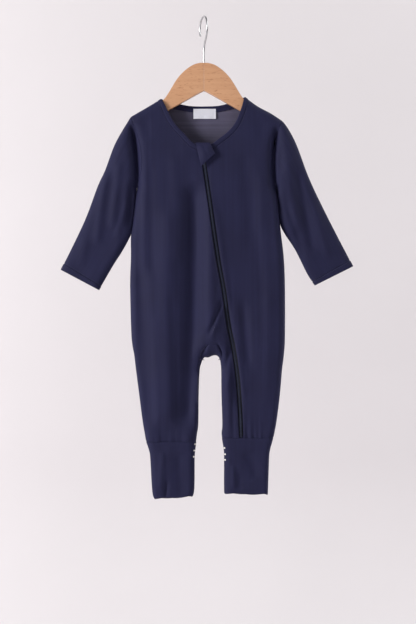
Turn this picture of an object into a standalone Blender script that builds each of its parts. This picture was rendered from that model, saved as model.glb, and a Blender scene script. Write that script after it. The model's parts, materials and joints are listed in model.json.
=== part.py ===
"""A baby's long-sleeved zip sleepsuit, hung empty on a small wooden hanger.

Frame: +Z up, the garment's front faces -Y, and +X is to the viewer's right. Left and right in the
names are the wearer's, so a "right" piece lies at -X. The origin is the seat of the wire hook,
the inner top of its bend, where it rests on a rail. Sizes are millimetres until a mesh is made.

The garment is two skins, front and back, that meet along its outline. Each skin stands out from
the outline in a quarter ellipse, then runs nearly flat, with a few long folds added to it.
"""

import math

import bmesh
import bpy
import numpy as np
from mathutils import Matrix, Vector

MM = 0.001

# Thicknesses and gaps
GAP = 0.3  # between pieces that meet at a seam
JERSEY = 1.2  # one wall of jersey with its seam allowances
DOUBLED = 2.0  # jersey folded double: cuffs and binding
ARMHOLE_GAP = 0.6  # the same for a sleeve, whose head turns sharply at the underarm
GUSSET_INSET = 0.8  # the gusset's tight curve keeps it further from its neighbours
TAPE = 0.6
LABEL = 0.5

FRONT, BACK = -1, 1  # the side of y = 0 that a skin lies on

# Neck
BAND = 7.5  # width of the neck binding
# x, z along the opening's edge, from the wearer's right shoulder down to the zip
NECK_RIGHT = [(-68, -130), (-61, -143), (-52, -162), (-43, -175), (-31.5, -187), (-20.5, -199), (-8.2, -207)]
# x, z from the zip up to the wearer's left shoulder
NECK_LEFT = [(-1, -208), (14, -202.5), (24, -195), (34.6, -187), (45.6, -176), (53, -163.5), (59.5, -146), (65, -127)]
# x, z across the back, from the wearer's right shoulder to the left one
NECK_BACK = [(-68, -130), (-52, -134.5), (-36, -137.8), (-17, -140.6), (18, -140.4), (36, -137), (50, -133), (65, -127)]

# Shoulders and armholes, x and z from the neck or the shoulder tip outwards and down
SHOULDER_RIGHT = [(-68, -130), (-92, -144.5), (-117, -159)]
SHOULDER_LEFT = [(65, -127), (86, -142.3), (107, -153.5), (126, -166)]
ARMHOLE_RIGHT = [(-117, -159), (-107, -186), (-101, -208), (-98.6, -227), (-100.5, -250), (-107.2, -272)]
ARMHOLE_LEFT = [(126, -166), (116, -188), (110, -208), (107.6, -227), (109.5, -250), (115.8, -272)]

# Sleeves, x and z down the outer fold from the shoulder tip, and down the inner edge
OUTER_RIGHT = [(-117, -159), (-130, -180), (-144, -206), (-158, -244), (-170, -270), (-189, -321), (-213, -372), (-229, -403.5)]
INNER_RIGHT = [(-108.6, -271.6), (-112, -300), (-115.8, -330), (-119.5, -350), (-131, -372), (-146, -398), (-168, -436)]
OUTER_LEFT = [(126, -166), (136, -180), (149, -206), (168, -257), (192, -308), (218, -359), (238.4, -398)]
INNER_LEFT = [(117.2, -271.6), (120.4, -300), (123.4, -328), (131, -346), (146, -372), (165, -410), (177.4, -428.5)]

# Body and legs: z, x of the wearer's right side, x of the left side
SIDES = np.array([
    (-272, -107.2, 115.8),
    (-300, -110.5, 118.6),
    (-330, -114.0, 121.6),
    (-350, -117.0, 123.8),
    (-385, -117.2, 127.8),
    (-430, -118.4, 129.6),
    (-510, -116.2, 129.6),
    (-540, -111.8, 127.8),
    (-565, -108.8, 124.8),
    (-602, -104.0, 121.6),
    (-641, -99.0, 116.8),
    (-665, -95.0, 112.6),
    (-678, -92.6, 109.4),
    (-692, -88.0, 105.6),
    (-705, -86.0, 104.2),
    (-756, -83.0, 102.4),
    (-771, -79.5, 101.6),
])
# Inside of the legs and cuffs: z, x of the right leg's inner edge, x of the left leg's
INSEAMS = np.array([
    (-549, -2.6, 25.5),
    (-564, -6.4, 27.0),
    (-602, -8.0, 27.4),
    (-650, -8.6, 28.8),
    (-665, -10.6, 27.6),
    (-678, -12.8, 26.4),
    (-692, -17.0, 31.6),
    (-705, -16.2, 32.0),
    (-756, -16.0, 32.0),
    (-771, -21.0, 33.5),
])
# The fork of the front and back, where the gusset is let in: z, x of its right seam, of its left seam
FORK = np.array([
    (-522, 8.0, 21.0),
    (-532, -1.0, 27.5),
    (-541, -4.0, 28.5),
    (-549, -2.6, 25.5),
])
CROTCH = [(-2.6, -549), (2, -543.2), (11.5, -541.8), (21, -543.2), (25.5, -549)]
# The same two lines carried up to the chest, only as the grid's own lines: front, then back
FORK_AT_CHEST = {FRONT: (-22.0, -11.0), BACK: (0.0, 10.0)}

# The zip's middle line: z, x
ZIP = np.array([
    (-204, -4.8), (-241, 1.3), (-289, 8.3), (-330, 14.1), (-388, 22.7), (-434, 31.2),
    (-489, 38.9), (-526, 46.4), (-564, 52.2), (-612, 56.6), (-680, 59.6),
])
ZIP_HALF_GAP = 3.6  # from the middle line to a panel's edge
COIL_WIDTH = 4.4
COIL_HEIGHT = 1.7
TAPE_REACH = 9.0  # how far a tape goes under its panel

# How far a skin stands out, and how wide its turn at the edge is: z, depth, turn
BODY_FORM = np.array([
    (-125, 10.5, 12), (-180, 12.5, 13), (-272, 16.5, 19), (-400, 18, 24), (-510, 18, 22),
    (-560, 15, 20), (-620, 13, 18), (-676, 11.5, 15), (-705, 9.5, 12), (-771, 7.5, 11),
])
# The same down a sleeve: share of its length, depth, turn
SLEEVE_FORM = np.array([(0, 13, 14), (0.35, 12, 15), (0.7, 9.5, 14), (1, 7, 12)])
SLEEVE_BLEND = 0.3  # share of the sleeve over which the body's form gives way to its own

# The longest folds: side, x and z of the upper end, x and z of the lower end, half-width, height
FOLDS = [
    (FRONT, -36, -255, -27, -655, 17, -4.5),
    (FRONT, -67, -290, -60, -655, 16, 2.5),
    (FRONT, -99, -400, -86, -668, 9, -2.5),
    (FRONT, -7, -280, 12, -520, 9, 2.0),
    (FRONT, 53, -465, 64, -570, 8, -2.5),
    (FRONT, 70, -490, 76, -660, 13, 2.0),
    (FRONT, -117, -172, -106, -262, 8, -4.0),
    (FRONT, 111, -182, 114, -262, 8, -4.0),
    (BACK, -112, -175, -105, -262, 8, -4.0),
    (BACK, 118, -182, 113, -262, 8, -4.0),
    (BACK, 44, -250, 36, -650, 18, -4.0),
    (BACK, 84, -300, 80, -650, 16, 2.5),
    (BACK, -42, -300, -54, -640, 15, -3.0),
]

# Grid lines, as shares of the width or length that they divide
CHEST_Z = -272
LEG_SEAM_Z = (-677.7, -671.7)  # where the right and left leg panels end
BODY_ROWS = [-303, -334, -365, -396, -428, -460, -491, -522, -532, -541, -549, -575, -600, -625, -652]
FORK_TOP_ROW = -522
YOKE_ROWS = [0, 0.015, 0.055, 0.12, 0.3, 0.5, 0.68, 0.82, 0.91, 0.975, 1]
RIGHT_LEG_COLUMNS = [0, 0.027, 0.1, 0.2, 0.4, 0.6, 0.8, 0.89, 0.97, 1]
FORK_COLUMNS = [0, 0.25, 0.5, 0.75, 1]
STRIP_COLUMNS = [0, 0.08, 0.3, 0.62, 1]
LEFT_FRONT_COLUMNS = [0, 0.12, 0.22, 0.32, 0.42, 0.52, 0.62, 0.71, 0.8, 0.88, 0.96, 1]
LEFT_LEG_COLUMNS = [0, 0.03, 0.11, 0.2, 0.4, 0.6, 0.8, 0.9, 0.973, 1]
SHOULDER_COLUMNS = [0, 0.07, 0.28, 0.6, 1]
NECK_END = [0, 0.02, 0.06, 0.13]
SLEEVE_ROWS = [0, 0.05, 0.14, 0.26, 0.4, 0.54, 0.68, 0.82, 0.96, 1]
CUFF_ROWS = [0, 0.16, 0.32, 0.55, 0.85, 1]
EVEN_LINES = 25  # lines each way of the sleeve's even grid
EVEN_ROUNDS = 600
# z of each cuff's lower edge at its outer and inner side, wearer's right and left
CUFF_ENDS = {"right": (-770, -766), "left": (-762.5, -761.5)}

# Zip guard, its corners in x and z and how far they stand off the front
GUARD_CORNERS = [(-13.4, -202), (9.6, -202), (17.3, -219.5), (-4.6, -240)]
GUARD_LIFTS = [4.4, 4.4, 7.0, 6.4]
GUARD_CROWN = 3.4  # extra height over the slider
LABEL_BOX = (-17, -161, 19, -145)  # x and z, low then high

# Zip slider and its pull
SLIDER_Z = -215.0  # height of the pull's pivot
SLIDER_LENGTH = 9.5
PULL_LENGTH = 14.0

# Hanger: half outline in x and z, from the top of the joint round to the bottom of it
HANGER_THICKNESS = 12.0
HANGER_ROUNDING = 3.6
HANGER_HALF = [
    (0.15, -73), (8, -73.7), (16, -76), (24, -80.6), (31, -86), (38, -93), (45, -102), (52, -113.5),
    (58, -123.5), (63.5, -131), (70, -136), (92, -149.5), (108, -159.2), (112.5, -163.5), (114, -169),
    (112, -175), (106, -177), (57, -149), (12, -123.6), (0.15, -117.4),
]

# Hook: wire, seat at the origin, its plane turned about the upright
HOOK_WIRE = 3.0
HOOK_RADIUS = 19.0
HOOK_TURN = math.radians(18)
HOOK_SEAT_X = -0.8
# reach in the hook's plane (minus is to the front), height: the shank up to the round part
HOOK_SHANK = [(0, -72.6), (0, -60), (0, -51), (-1.6, -45.5), (-6.2, -39.6), (-12, -33.6), (-16.6, -26.6)]

NAVY = (0.028, 0.029, 0.062)
MATERIALS = {  # colour, roughness, metallic
    "jersey": (NAVY, 0.85, 0.0),
    "zip": ((0.02, 0.021, 0.032), 0.6, 0.0),
    "label": ((0.82, 0.82, 0.84), 0.8, 0.0),
    "metal": ((0.55, 0.55, 0.55), 0.35, 1.0),
    "beech": ((0.60, 0.31, 0.17), 0.55, 0.0),
}


def clear_scene():
    for thing in list(bpy.data.objects):
        bpy.data.objects.remove(thing, do_unlink=True)


def material(name, kind):
    colour, roughness, metallic = MATERIALS[kind]
    made = bpy.data.materials.new(name)
    made.use_nodes = True
    shader = made.node_tree.nodes["Principled BSDF"]
    shader.inputs["Base Color"].default_value = (*colour, 1)
    shader.inputs["Roughness"].default_value = roughness
    shader.inputs["Metallic"].default_value = metallic
    return made


# ---------------------------------------------------------------- curves and outlines in the front view


def smooth_curve(points, shares):
    """Points at shares of the length of a smooth curve through the given ones."""
    points = np.array(points, float)
    padded = np.vstack([2 * points[0] - points[1], points, 2 * points[-1] - points[-2]])
    fine = []
    for before, start, end, after in zip(padded, padded[1:], padded[2:], padded[3:]):
        for t in np.linspace(0, 1, 12, endpoint=False):
            fine.append(0.5 * (2 * start + (end - before) * t
                               + (2 * before - 5 * start + 4 * end - after) * t**2
                               + (3 * start - before - 3 * end + after) * t**3))
    return along(np.array(fine + [points[-1]]), shares)


def along(points, shares):
    """Points at shares of the length of a polyline."""
    points = np.array(points, float)
    reach = np.concatenate([[0], np.cumsum(np.linalg.norm(np.diff(points, axis=0), axis=1))])
    wanted = np.array(shares) * reach[-1]
    return np.stack([np.interp(wanted, reach, points[:, 0]), np.interp(wanted, reach, points[:, 1])], axis=1)


def read(table, z, column):
    """A column of a table whose first column is a falling z."""
    return float(np.interp(-z, -table[:, 0], table[:, column]))


def chain(points):
    """An edge with the cloth on the left of its travel: its points and the inward normal at each."""
    points = np.array(points, float)
    runs = np.diff(points, axis=0)
    inward = np.stack([-runs[:, 1], runs[:, 0]], axis=1)
    inward /= np.linalg.norm(inward, axis=1)[:, None]
    inward = np.vstack([inward[:1], inward[:-1] + inward[1:], inward[-1:]])
    return points, inward / np.linalg.norm(inward, axis=1)[:, None]


def edges_of(table, column):
    return [(row[column], row[0]) for row in table]


def outline_chains():
    """The edges that the body's skins round away from, and those of each sleeve."""
    outer_right = chain(SHOULDER_RIGHT + OUTER_RIGHT[1:])
    outer_left = chain((SHOULDER_LEFT + OUTER_LEFT[1:])[::-1])
    fork = edges_of(INSEAMS, 1)[::-1] + CROTCH[1:-1] + edges_of(INSEAMS, 2)
    body = [outer_right, outer_left, chain(edges_of(SIDES, 1)), chain(edges_of(SIDES, 2)[::-1]), chain(fork)]
    return {
        "body": body,
        "right": [outer_right, chain(INNER_RIGHT[::-1])],
        "left": [outer_left, chain(INNER_LEFT)],
    }


def nearest_edge(point, chains):
    """Distance from a point to the nearest edge, and the unit way inwards from there."""
    nearest, way_in = math.inf, None
    for points, inward in chains:
        starts, runs = points[:-1], np.diff(points, axis=0)
        share = np.clip(((point - starts) * runs).sum(1) / (runs**2).sum(1), 0, 1)
        away = point - (starts + share[:, None] * runs)
        far = np.linalg.norm(away, axis=1)
        i = int(far.argmin())
        if far[i] < nearest:
            nearest = float(far[i])
            normal = inward[i] * (1 - share[i]) + inward[i + 1] * share[i]
            way_in = away[i] / nearest if nearest > 0.6 else normal / np.linalg.norm(normal)
    return nearest, way_in


def ease(share):
    share = min(max(share, 0.0), 1.0)
    return share * share * (3 - 2 * share)


def fold_height(point, side):
    height = 0.0
    for fold_side, x_top, z_top, x_low, z_low, width, rise in FOLDS:
        if fold_side != side:
            continue
        start, run = np.array((x_top, z_top)), np.array((x_low - x_top, z_low - z_top))
        length = np.linalg.norm(run)
        down = float((point - start) @ run) / length
        across = float(np.cross(run, point - start)) / length
        ends = ease(down / 40) * ease((length - down) / 40)
        height += rise * ends * math.exp(-((across / width) ** 2))
    return height


def body_form(z):
    return read(BODY_FORM, z, 1), read(BODY_FORM, z, 2)


def skin_point(point, side, chains, form, lift=0.0, seam=GAP / 2):
    """A point of a skin, moved out by lift along the skin's own rounding."""
    depth, turn = form
    distance, way_in = nearest_edge(point, chains)
    angle = math.acos(max(1 - distance / turn, 0.0))
    rise = math.sin(angle)
    outward = np.array([-way_in[0] * depth * math.cos(angle), turn * rise, -way_in[1] * depth * math.cos(angle)])
    outward *= lift / np.linalg.norm(outward)
    y = (depth + fold_height(point, side)) * rise + outward[1]
    return np.array([point[0] + outward[0], side * max(y, seam), point[1] + outward[2]])


# ---------------------------------------------------------------- meshes


def mesh_object(name, kind, mesh, smooth=True):
    if smooth:
        mesh.shade_smooth()
        mesh.set_sharp_from_angle(angle=math.radians(50))
    made = bpy.data.objects.new(name, mesh)
    mesh.materials.append(material(name, kind))
    bpy.context.scene.collection.objects.link(made)
    return made


def finish_mesh(name, bm):
    bmesh.ops.recalc_face_normals(bm, faces=bm.faces)
    mesh = bpy.data.meshes.new(name)
    bm.to_mesh(mesh)
    bm.free()
    return mesh


def shell(name, kind, outer, inner, cells):
    """A closed wall: outer and inner points by key, and the quads of keys that make its skins."""
    bm = bmesh.new()
    used = sorted({key for cell in cells for key in cell})
    outside = {key: bm.verts.new(Vector(outer[key]) * MM) for key in used}
    inside = {key: bm.verts.new(Vector(inner[key]) * MM) for key in used}
    sides = {}
    for cell in cells:
        bm.faces.new([outside[key] for key in cell])
        bm.faces.new([inside[key] for key in reversed(cell)])
        for start, end in zip(cell, cell[1:] + cell[:1]):
            sides.setdefault(frozenset((start, end)), []).append((start, end))
    for found in sides.values():
        if len(found) == 1:
            start, end = found[0]
            bm.faces.new([outside[end], outside[start], inside[start], inside[end]])
    return mesh_object(name, kind, finish_mesh(name, bm))


def cells_between(rows, columns):
    """Quads of a grid of (row, column) keys."""
    return [((i, j), (i + 1, j), (i + 1, j + 1), (i, j + 1)) for i in rows for j in columns]


def ring_cells(rows, count):
    """Quads of a grid that closes on itself across."""
    return [((i, j), (i + 1, j), (i + 1, (j + 1) % count), (i, (j + 1) % count)) for i in rows for j in range(count)]


def coons(top, bottom, left, right, down):
    """Rows of points that fill four edges: down gives each row's share, the same as left and right."""
    top, bottom, left, right = (np.array(edge, float) for edge in (top, bottom, left, right))
    reach = np.concatenate([[0], np.cumsum(np.linalg.norm(np.diff(bottom, axis=0), axis=1))])
    over = (reach / reach[-1])[:, None]
    rows = []
    for share, west, east in zip(down, left, right):
        corners = (1 - share) * ((1 - over) * top[0] + over * top[-1]) + share * ((1 - over) * bottom[0] + over * bottom[-1])
        rows.append((1 - share) * top + share * bottom + (1 - over) * west + over * east - corners)
    return rows


def between(lines, shares):
    """Lines at shares of the way through evenly spaced ones."""
    place = np.array(shares) * (len(lines) - 1)
    low = np.minimum(place.astype(int), len(lines) - 2)
    mix = (place - low)[:, None, None]
    return lines[low] * (1 - mix) + lines[low + 1] * mix


def even_grid(top, bottom, left, right, down, over):
    """Rows of points that fill four edges with a hollow corner, where a plain patch would fold over.

    Each point of an evenly spaced grid is drawn towards the balance of its neighbours (Winslow's
    smoothing), then the grid is read at shares of the way down and over."""
    even = np.linspace(0, 1, EVEN_LINES)
    grid = np.array(coons(*[along(edge, even) for edge in (top, bottom, left, right)], even))
    for _ in range(EVEN_ROUNDS):
        by_row = (grid[2:, 1:-1] - grid[:-2, 1:-1]) / 2
        by_column = (grid[1:-1, 2:] - grid[1:-1, :-2]) / 2
        row_size = (by_row**2).sum(2, keepdims=True)
        column_size = (by_column**2).sum(2, keepdims=True)
        skew = (by_row * by_column).sum(2, keepdims=True)
        corners = grid[2:, 2:] - grid[2:, :-2] - grid[:-2, 2:] + grid[:-2, :-2]
        drawn = (row_size * (grid[1:-1, 2:] + grid[1:-1, :-2])
                 + column_size * (grid[2:, 1:-1] + grid[:-2, 1:-1]) - skew * corners / 2)
        grid[1:-1, 1:-1] = drawn / (2 * (row_size + column_size))
    return between(between(grid, down).swapaxes(0, 1), over).swapaxes(0, 1)


# ---------------------------------------------------------------- neck


def neck_line(points, shares, start_way, end_way):
    """The opening's edge and the way out to the panel's edge. A way is its direction at that end."""
    edge = smooth_curve(points, shares)
    ahead = smooth_curve(points, np.clip(np.array(shares) + 0.01, 0, 1))
    behind = smooth_curve(points, np.clip(np.array(shares) - 0.01, 0, 1))
    run = ahead - behind
    away = np.stack([run[:, 1], -run[:, 0]], axis=1)
    away /= np.linalg.norm(away, axis=1)[:, None]
    blend = 0.12
    for i, share in enumerate(shares):
        for way, mix in ((start_way, 1 - share / blend), (end_way, 1 - (1 - share) / blend)):
            if mix > 0:
                away[i] = away[i] * (1 - mix) + np.array(way) * mix
                away[i] /= np.linalg.norm(away[i])
    return edge, away


def spread(count):
    """Shares of a neck edge: fine at its shoulder end, then even."""
    return NECK_END + list(np.linspace(NECK_END[-1], 1, count - len(NECK_END) + 2)[1:])


def unit(run):
    run = np.array(run, float)
    return run / np.linalg.norm(run)


def neck_lines():
    """Each stretch of the neck from the wearer's right to left, as shares, opening edge and way out."""
    right_way = unit(np.subtract(SHOULDER_RIGHT[1], SHOULDER_RIGHT[0]))
    left_way = unit(np.subtract(SHOULDER_LEFT[1], SHOULDER_LEFT[0]))
    zip_way = unit((ZIP[1][1] - ZIP[0][1], ZIP[1][0] - ZIP[0][0]))
    right_count = len(RIGHT_LEG_COLUMNS) + len(FORK_COLUMNS) + len(STRIP_COLUMNS) - 3 - (len(SHOULDER_COLUMNS) - 1)
    left_count = len(LEFT_FRONT_COLUMNS) - len(SHOULDER_COLUMNS)
    back_count = len(RIGHT_LEG_COLUMNS) + len(FORK_COLUMNS) + len(LEFT_LEG_COLUMNS) - 3 - 2 * (len(SHOULDER_COLUMNS) - 1)
    back_middle = np.linspace(0.1, 0.9, back_count - 5)
    back = [0, 0.015, 0.045, *back_middle, 0.955, 0.985, 1]
    left = [1 - share for share in reversed(spread(left_count))]
    return {
        "right": neck_line(NECK_RIGHT, spread(right_count), right_way, zip_way),
        "left": neck_line(NECK_LEFT, left, zip_way, left_way),
        "back": neck_line(NECK_BACK, back, right_way, left_way),
    }


def panel_neck(line):
    edge, away = line
    return edge + away * BAND


# ---------------------------------------------------------------- body panels


def zip_x(z):
    return read(ZIP, z, 1)


def fork_x(z, side):
    """x of the two fork lines at a height, on the front or the back."""
    if z > FORK_TOP_ROW:
        share = (CHEST_Z - z) / (CHEST_Z - FORK_TOP_ROW)
        return [at_chest + (read(FORK, z, column) - at_chest) * share
                for column, at_chest in zip((1, 2), FORK_AT_CHEST[side])]
    table = FORK if z > FORK[-1][0] else INSEAMS
    return [read(table, z, 1), read(table, z, 2)]


def divide(low, high, shares):
    return [low + (high - low) * share for share in shares]


def front_right_row(z):
    right_seam, left_seam = fork_x(z, FRONT)
    return (divide(read(SIDES, z, 1), right_seam, RIGHT_LEG_COLUMNS)
            + divide(right_seam, left_seam, FORK_COLUMNS)[1:]
            + divide(left_seam, zip_x(z) - ZIP_HALF_GAP, STRIP_COLUMNS)[1:])


def front_left_row(z):
    return divide(zip_x(z) + ZIP_HALF_GAP, read(SIDES, z, 2), LEFT_FRONT_COLUMNS)


def back_row(z):
    right_seam, left_seam = fork_x(z, BACK)
    return (divide(read(SIDES, z, 1), right_seam, RIGHT_LEG_COLUMNS)
            + divide(right_seam, left_seam, FORK_COLUMNS)[1:]
            + divide(left_seam, read(SIDES, z, 2), LEFT_LEG_COLUMNS)[1:])


def zip_side(top, sign):
    """The panel's edge beside the zip, from the neck down to the chest."""
    heights = divide(top[1], CHEST_Z, YOKE_ROWS)
    shift = top[0] - zip_x(top[1]) - sign * ZIP_HALF_GAP
    return [(zip_x(z) + sign * ZIP_HALF_GAP + shift * (1 - share), z) for z, share in zip(heights, YOKE_ROWS)]


def panel_rows(row, top, left, right):
    """Flat rows of a panel, from its shoulder and neck down to its leg seams."""
    chest = [(x, CHEST_Z) for x in row(CHEST_Z)]
    rows = coons(top, chest, left, right, YOKE_ROWS)
    rows += [np.array([(x, z) for x in row(z)]) for z in BODY_ROWS]
    ends = [np.array([(x, z) for x in row(z)]) for z in LEG_SEAM_Z]
    middle = sum(CROTCH[2][0] > ends[0][:, 0])
    return rows + [np.vstack([ends[0][:middle], ends[1][middle:]])]


def shoulder(points, reverse=False):
    shares = [1 - share for share in SHOULDER_COLUMNS][::-1] if reverse else SHOULDER_COLUMNS
    return along(points, shares)


def body_panel(name, side, rows, chains, fork):
    """fork is the first and last column of the notch that the gusset fills, or None."""
    outer, inner = {}, {}
    for i, row in enumerate(rows):
        for j, point in enumerate(row):
            form = body_form(point[1])
            outer[i, j] = skin_point(point, side, chains, form)
            inner[i, j] = skin_point(point, side, chains, form, -JERSEY)
    cells = cells_between(range(len(rows) - 1), range(len(rows[0]) - 1))
    if fork:
        notch = len(YOKE_ROWS) + BODY_ROWS.index(FORK_TOP_ROW)
        cells = [cell for cell in cells if not (cell[0][0] >= notch and fork[0] <= cell[0][1] < fork[1])]
    shell(name, "jersey", outer, inner, cells)
    return outer, inner


def body_panels(chains, necks):
    right_neck, left_neck, back_neck = (panel_neck(necks[part]) for part in ("right", "left", "back"))
    right_corner, left_corner = right_neck[0], left_neck[-1]
    right_shoulder = shoulder([SHOULDER_RIGHT[-1], right_corner])
    left_shoulder = shoulder([left_corner, *SHOULDER_LEFT[1:]], reverse=True)
    armhole_right = smooth_curve(ARMHOLE_RIGHT, YOKE_ROWS)
    armhole_left = smooth_curve(ARMHOLE_LEFT, YOKE_ROWS)
    fork_start = len(RIGHT_LEG_COLUMNS) - 1
    fork = (fork_start, fork_start + len(FORK_COLUMNS) - 1)

    top = np.vstack([right_shoulder, right_neck[1:]])
    rows = panel_rows(front_right_row, top, armhole_right, zip_side(right_neck[-1], -1))
    right = body_panel("front_right", FRONT, rows, chains, fork)

    top = np.vstack([left_neck[:-1], left_shoulder])
    rows = panel_rows(front_left_row, top, zip_side(left_neck[0], 1), armhole_left)
    left = body_panel("front_left", FRONT, rows, chains, None)

    top = np.vstack([right_shoulder, back_neck[1:-1], left_shoulder])
    rows = panel_rows(back_row, top, armhole_right, armhole_left)
    body_panel("back", BACK, rows, chains, fork)
    return right, left


def crotch_gusset(chains):
    """A small saddle let in at the fork, from the front's arch under the crotch to the back's."""
    heights = [FORK_TOP_ROW - GAP, -532, -541]
    dips = [0, 1.0, 3.0]  # how much higher the middle of a row runs than its ends
    rows = []
    for z, dip in zip(heights, dips):
        ends = read(FORK, z, 1) + GUSSET_INSET, read(FORK, z, 2) - GUSSET_INSET
        rows.append([np.array((x, z + dip * math.sin(math.pi * share)))
                     for x, share in zip(divide(*ends, FORK_COLUMNS), FORK_COLUMNS)])
    crotch = np.array(CROTCH)
    crotch[0] += (GUSSET_INSET, GUSSET_INSET)
    crotch[-1] += (-GUSSET_INSET, GUSSET_INSET)
    outer, inner = {}, {}
    for side, order in ((FRONT, range(3)), (BACK, range(6, 3, -1))):
        for i, row in zip(order, rows):
            for j, point in enumerate(row):
                form = body_form(point[1])
                outer[i, j] = skin_point(point, side, chains, form)
                inner[i, j] = skin_point(point, side, chains, form, -JERSEY)
    for j, point in enumerate(crotch):
        outer[3, j] = skin_point(point, BACK, chains, body_form(point[1]), seam=0)
        inner[3, j] = skin_point(point, BACK, chains, body_form(point[1]), -JERSEY, seam=0)
    shell("crotch_gusset", "jersey", outer, inner, cells_between(range(6), range(len(FORK_COLUMNS) - 1)))


# ---------------------------------------------------------------- sleeves, cuffs and binding


def sleeve(name, chains, armhole, outer_edge, inner_edge, away):
    """A tube from the armhole to the hem. away is the sign of x that leads off the body."""
    armhole = smooth_curve(armhole, YOKE_ROWS)
    armhole = armhole + np.array((away * ARMHOLE_GAP, 0))
    armhole[-1] = inner_edge[0]
    armhole[0] = along(outer_edge, [0.0015])[0]
    down = SLEEVE_ROWS
    outer_points = along(outer_edge, down)
    outer_points[0] = armhole[0]
    hem = along([outer_edge[-1], inner_edge[-1]], YOKE_ROWS)
    rows = even_grid(armhole, hem, outer_edge, inner_edge, down, YOKE_ROWS)
    rows[0], rows[-1] = armhole, hem
    rows[:, 0], rows[:, -1] = outer_points, along(inner_edge, down)
    count = 2 * (len(YOKE_ROWS) - 1)
    outer, inner = {}, {}
    for i, (row, share) in enumerate(zip(rows, down)):
        mix = ease(share / SLEEVE_BLEND)
        own = [float(np.interp(share, SLEEVE_FORM[:, 0], SLEEVE_FORM[:, column])) for column in (1, 2)]
        for side in (FRONT, BACK):
            for j, point in enumerate(row):
                if side == BACK and j in (0, len(row) - 1):
                    continue
                form = [body * (1 - mix) + sleeve_value * mix for body, sleeve_value in zip(body_form(point[1]), own)]
                key = i, j if side == FRONT else count - j
                outer[key] = skin_point(point, side, chains, form, seam=0)
                inner[key] = skin_point(point, side, chains, form, -JERSEY, seam=0)
    shell(name, "jersey", outer, inner, ring_cells(range(len(rows) - 1), count))


def cuff(name, chains, front_x, back_x, column, seam_z, ends):
    """A double-walled tube under a leg. front_x and back_x are the leg's columns at its seam."""
    low, high = front_x[0], front_x[-1]
    shares = [(x - low) / (high - low) for x in front_x]
    back_shares = [(x - low) / (high - low) for x in back_x]
    ring = [(FRONT, share) for share in shares] + [(BACK, share) for share in reversed(back_shares[1:-1])]
    outer, inner = {}, {}
    for i, down in enumerate(CUFF_ROWS):
        for j, (side, share) in enumerate(ring):
            z = seam_z - GAP + (ends[0] + (ends[1] - ends[0]) * share - seam_z + GAP) * down
            edges = (read(SIDES, z, 1), read(INSEAMS, z, 1)) if column == 1 else (read(INSEAMS, z, 2), read(SIDES, z, 2))
            point = np.array((edges[0] + (edges[1] - edges[0]) * share, z))
            outer[i, j] = skin_point(point, side, chains, body_form(z), seam=0)
            inner[i, j] = skin_point(point, side, chains, body_form(z), -DOUBLED, seam=0)
    shell(name, "jersey", outer, inner, ring_cells(range(len(CUFF_ROWS) - 1), len(ring)))


def cuffs(chains):
    seam = LEG_SEAM_Z[0]
    fork = len(RIGHT_LEG_COLUMNS)
    cuff("cuff_right", chains, front_right_row(seam)[:fork], back_row(seam)[:fork], 1, seam, CUFF_ENDS["right"])
    seam = LEG_SEAM_Z[1]
    fork += len(FORK_COLUMNS) - 2
    front = front_right_row(seam)[fork:] + front_left_row(seam)
    outer_z, inner_z = CUFF_ENDS["left"]
    cuff("cuff_left", chains, front, back_row(seam)[fork:], 2, seam, (inner_z, outer_z))


def neck_binding(chains, necks):
    """One doubled strip from the zip over the right shoulder, round the back and down to the zip."""
    stations = []
    for part, side in (("right", FRONT), ("back", BACK), ("left", FRONT)):
        edge, away = necks[part]
        order = range(len(edge) - 1, 0, -1) if part == "right" else range(len(edge) - 1, -1, -1)
        if part == "back":
            order = range(len(edge))
        found = [(side, edge[i], edge[i] + away[i] * (BAND - GAP)) for i in order]
        stations += found if part != "left" else found[1:]
    outer, inner = {}, {}
    for i, (side, edge, panel_edge) in enumerate(stations):
        for j, share in enumerate((0, 0.5, 1)):
            point = edge + (panel_edge - edge) * share
            on_shoulder = nearest_edge(point, chains)[0] < 0.05
            seam = 0 if on_shoulder else GAP / 2
            outer[i, j] = skin_point(point, side, chains, body_form(point[1]), 0.4, seam)
            inner[i, j] = skin_point(point, side, chains, body_form(point[1]), 0.4 - DOUBLED, seam)
    shell("neck_binding", "jersey", outer, inner, cells_between(range(len(stations) - 1), range(2)))


def neck_label(chains):
    """A woven label sewn to the inside of the back neck, hanging from the binding."""
    low_x, low_z, high_x, high_z = LABEL_BOX
    outer, inner = {}, {}
    for i, z in enumerate(divide(high_z, low_z, (0, 0.33, 0.67, 1))):
        for j, x in enumerate(divide(low_x, high_x, (0, 0.25, 0.5, 0.75, 1))):
            point = np.array((x, z))
            lift = 0.4 - DOUBLED - GAP
            outer[i, j] = skin_point(point, BACK, chains, body_form(z), lift)
            inner[i, j] = skin_point(point, BACK, chains, body_form(z), lift - LABEL)
    shell("neck_label", "label", outer, inner, cells_between(range(3), range(4)))


# ---------------------------------------------------------------- zip


def zip_tape(name, panel, edge_column, next_column):
    """A tape on the inside of a panel, made from the panel's own points and moved in."""
    outer, inner = panel
    rows = sorted({i for i, j in outer if j == edge_column})
    tape_out, tape_in = {}, {}
    for i in rows:
        edge, beyond = inner[i, edge_column], inner[i, next_column]
        way = (beyond - edge) / np.linalg.norm(beyond - edge)
        drop = (inner[i, edge_column] - outer[i, edge_column]) / JERSEY
        reach = min(TAPE_REACH, np.linalg.norm(beyond - edge) * 0.98)
        for j, over in enumerate((-0.9, 0.0, reach)):
            place = edge + way * over + drop * (GAP + 0.2)
            tape_out[i, j] = place
            tape_in[i, j] = place + drop * TAPE
    shell(name, "zip", tape_out, tape_in, cells_between(range(rows[0], rows[-1]), range(2)))


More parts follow.
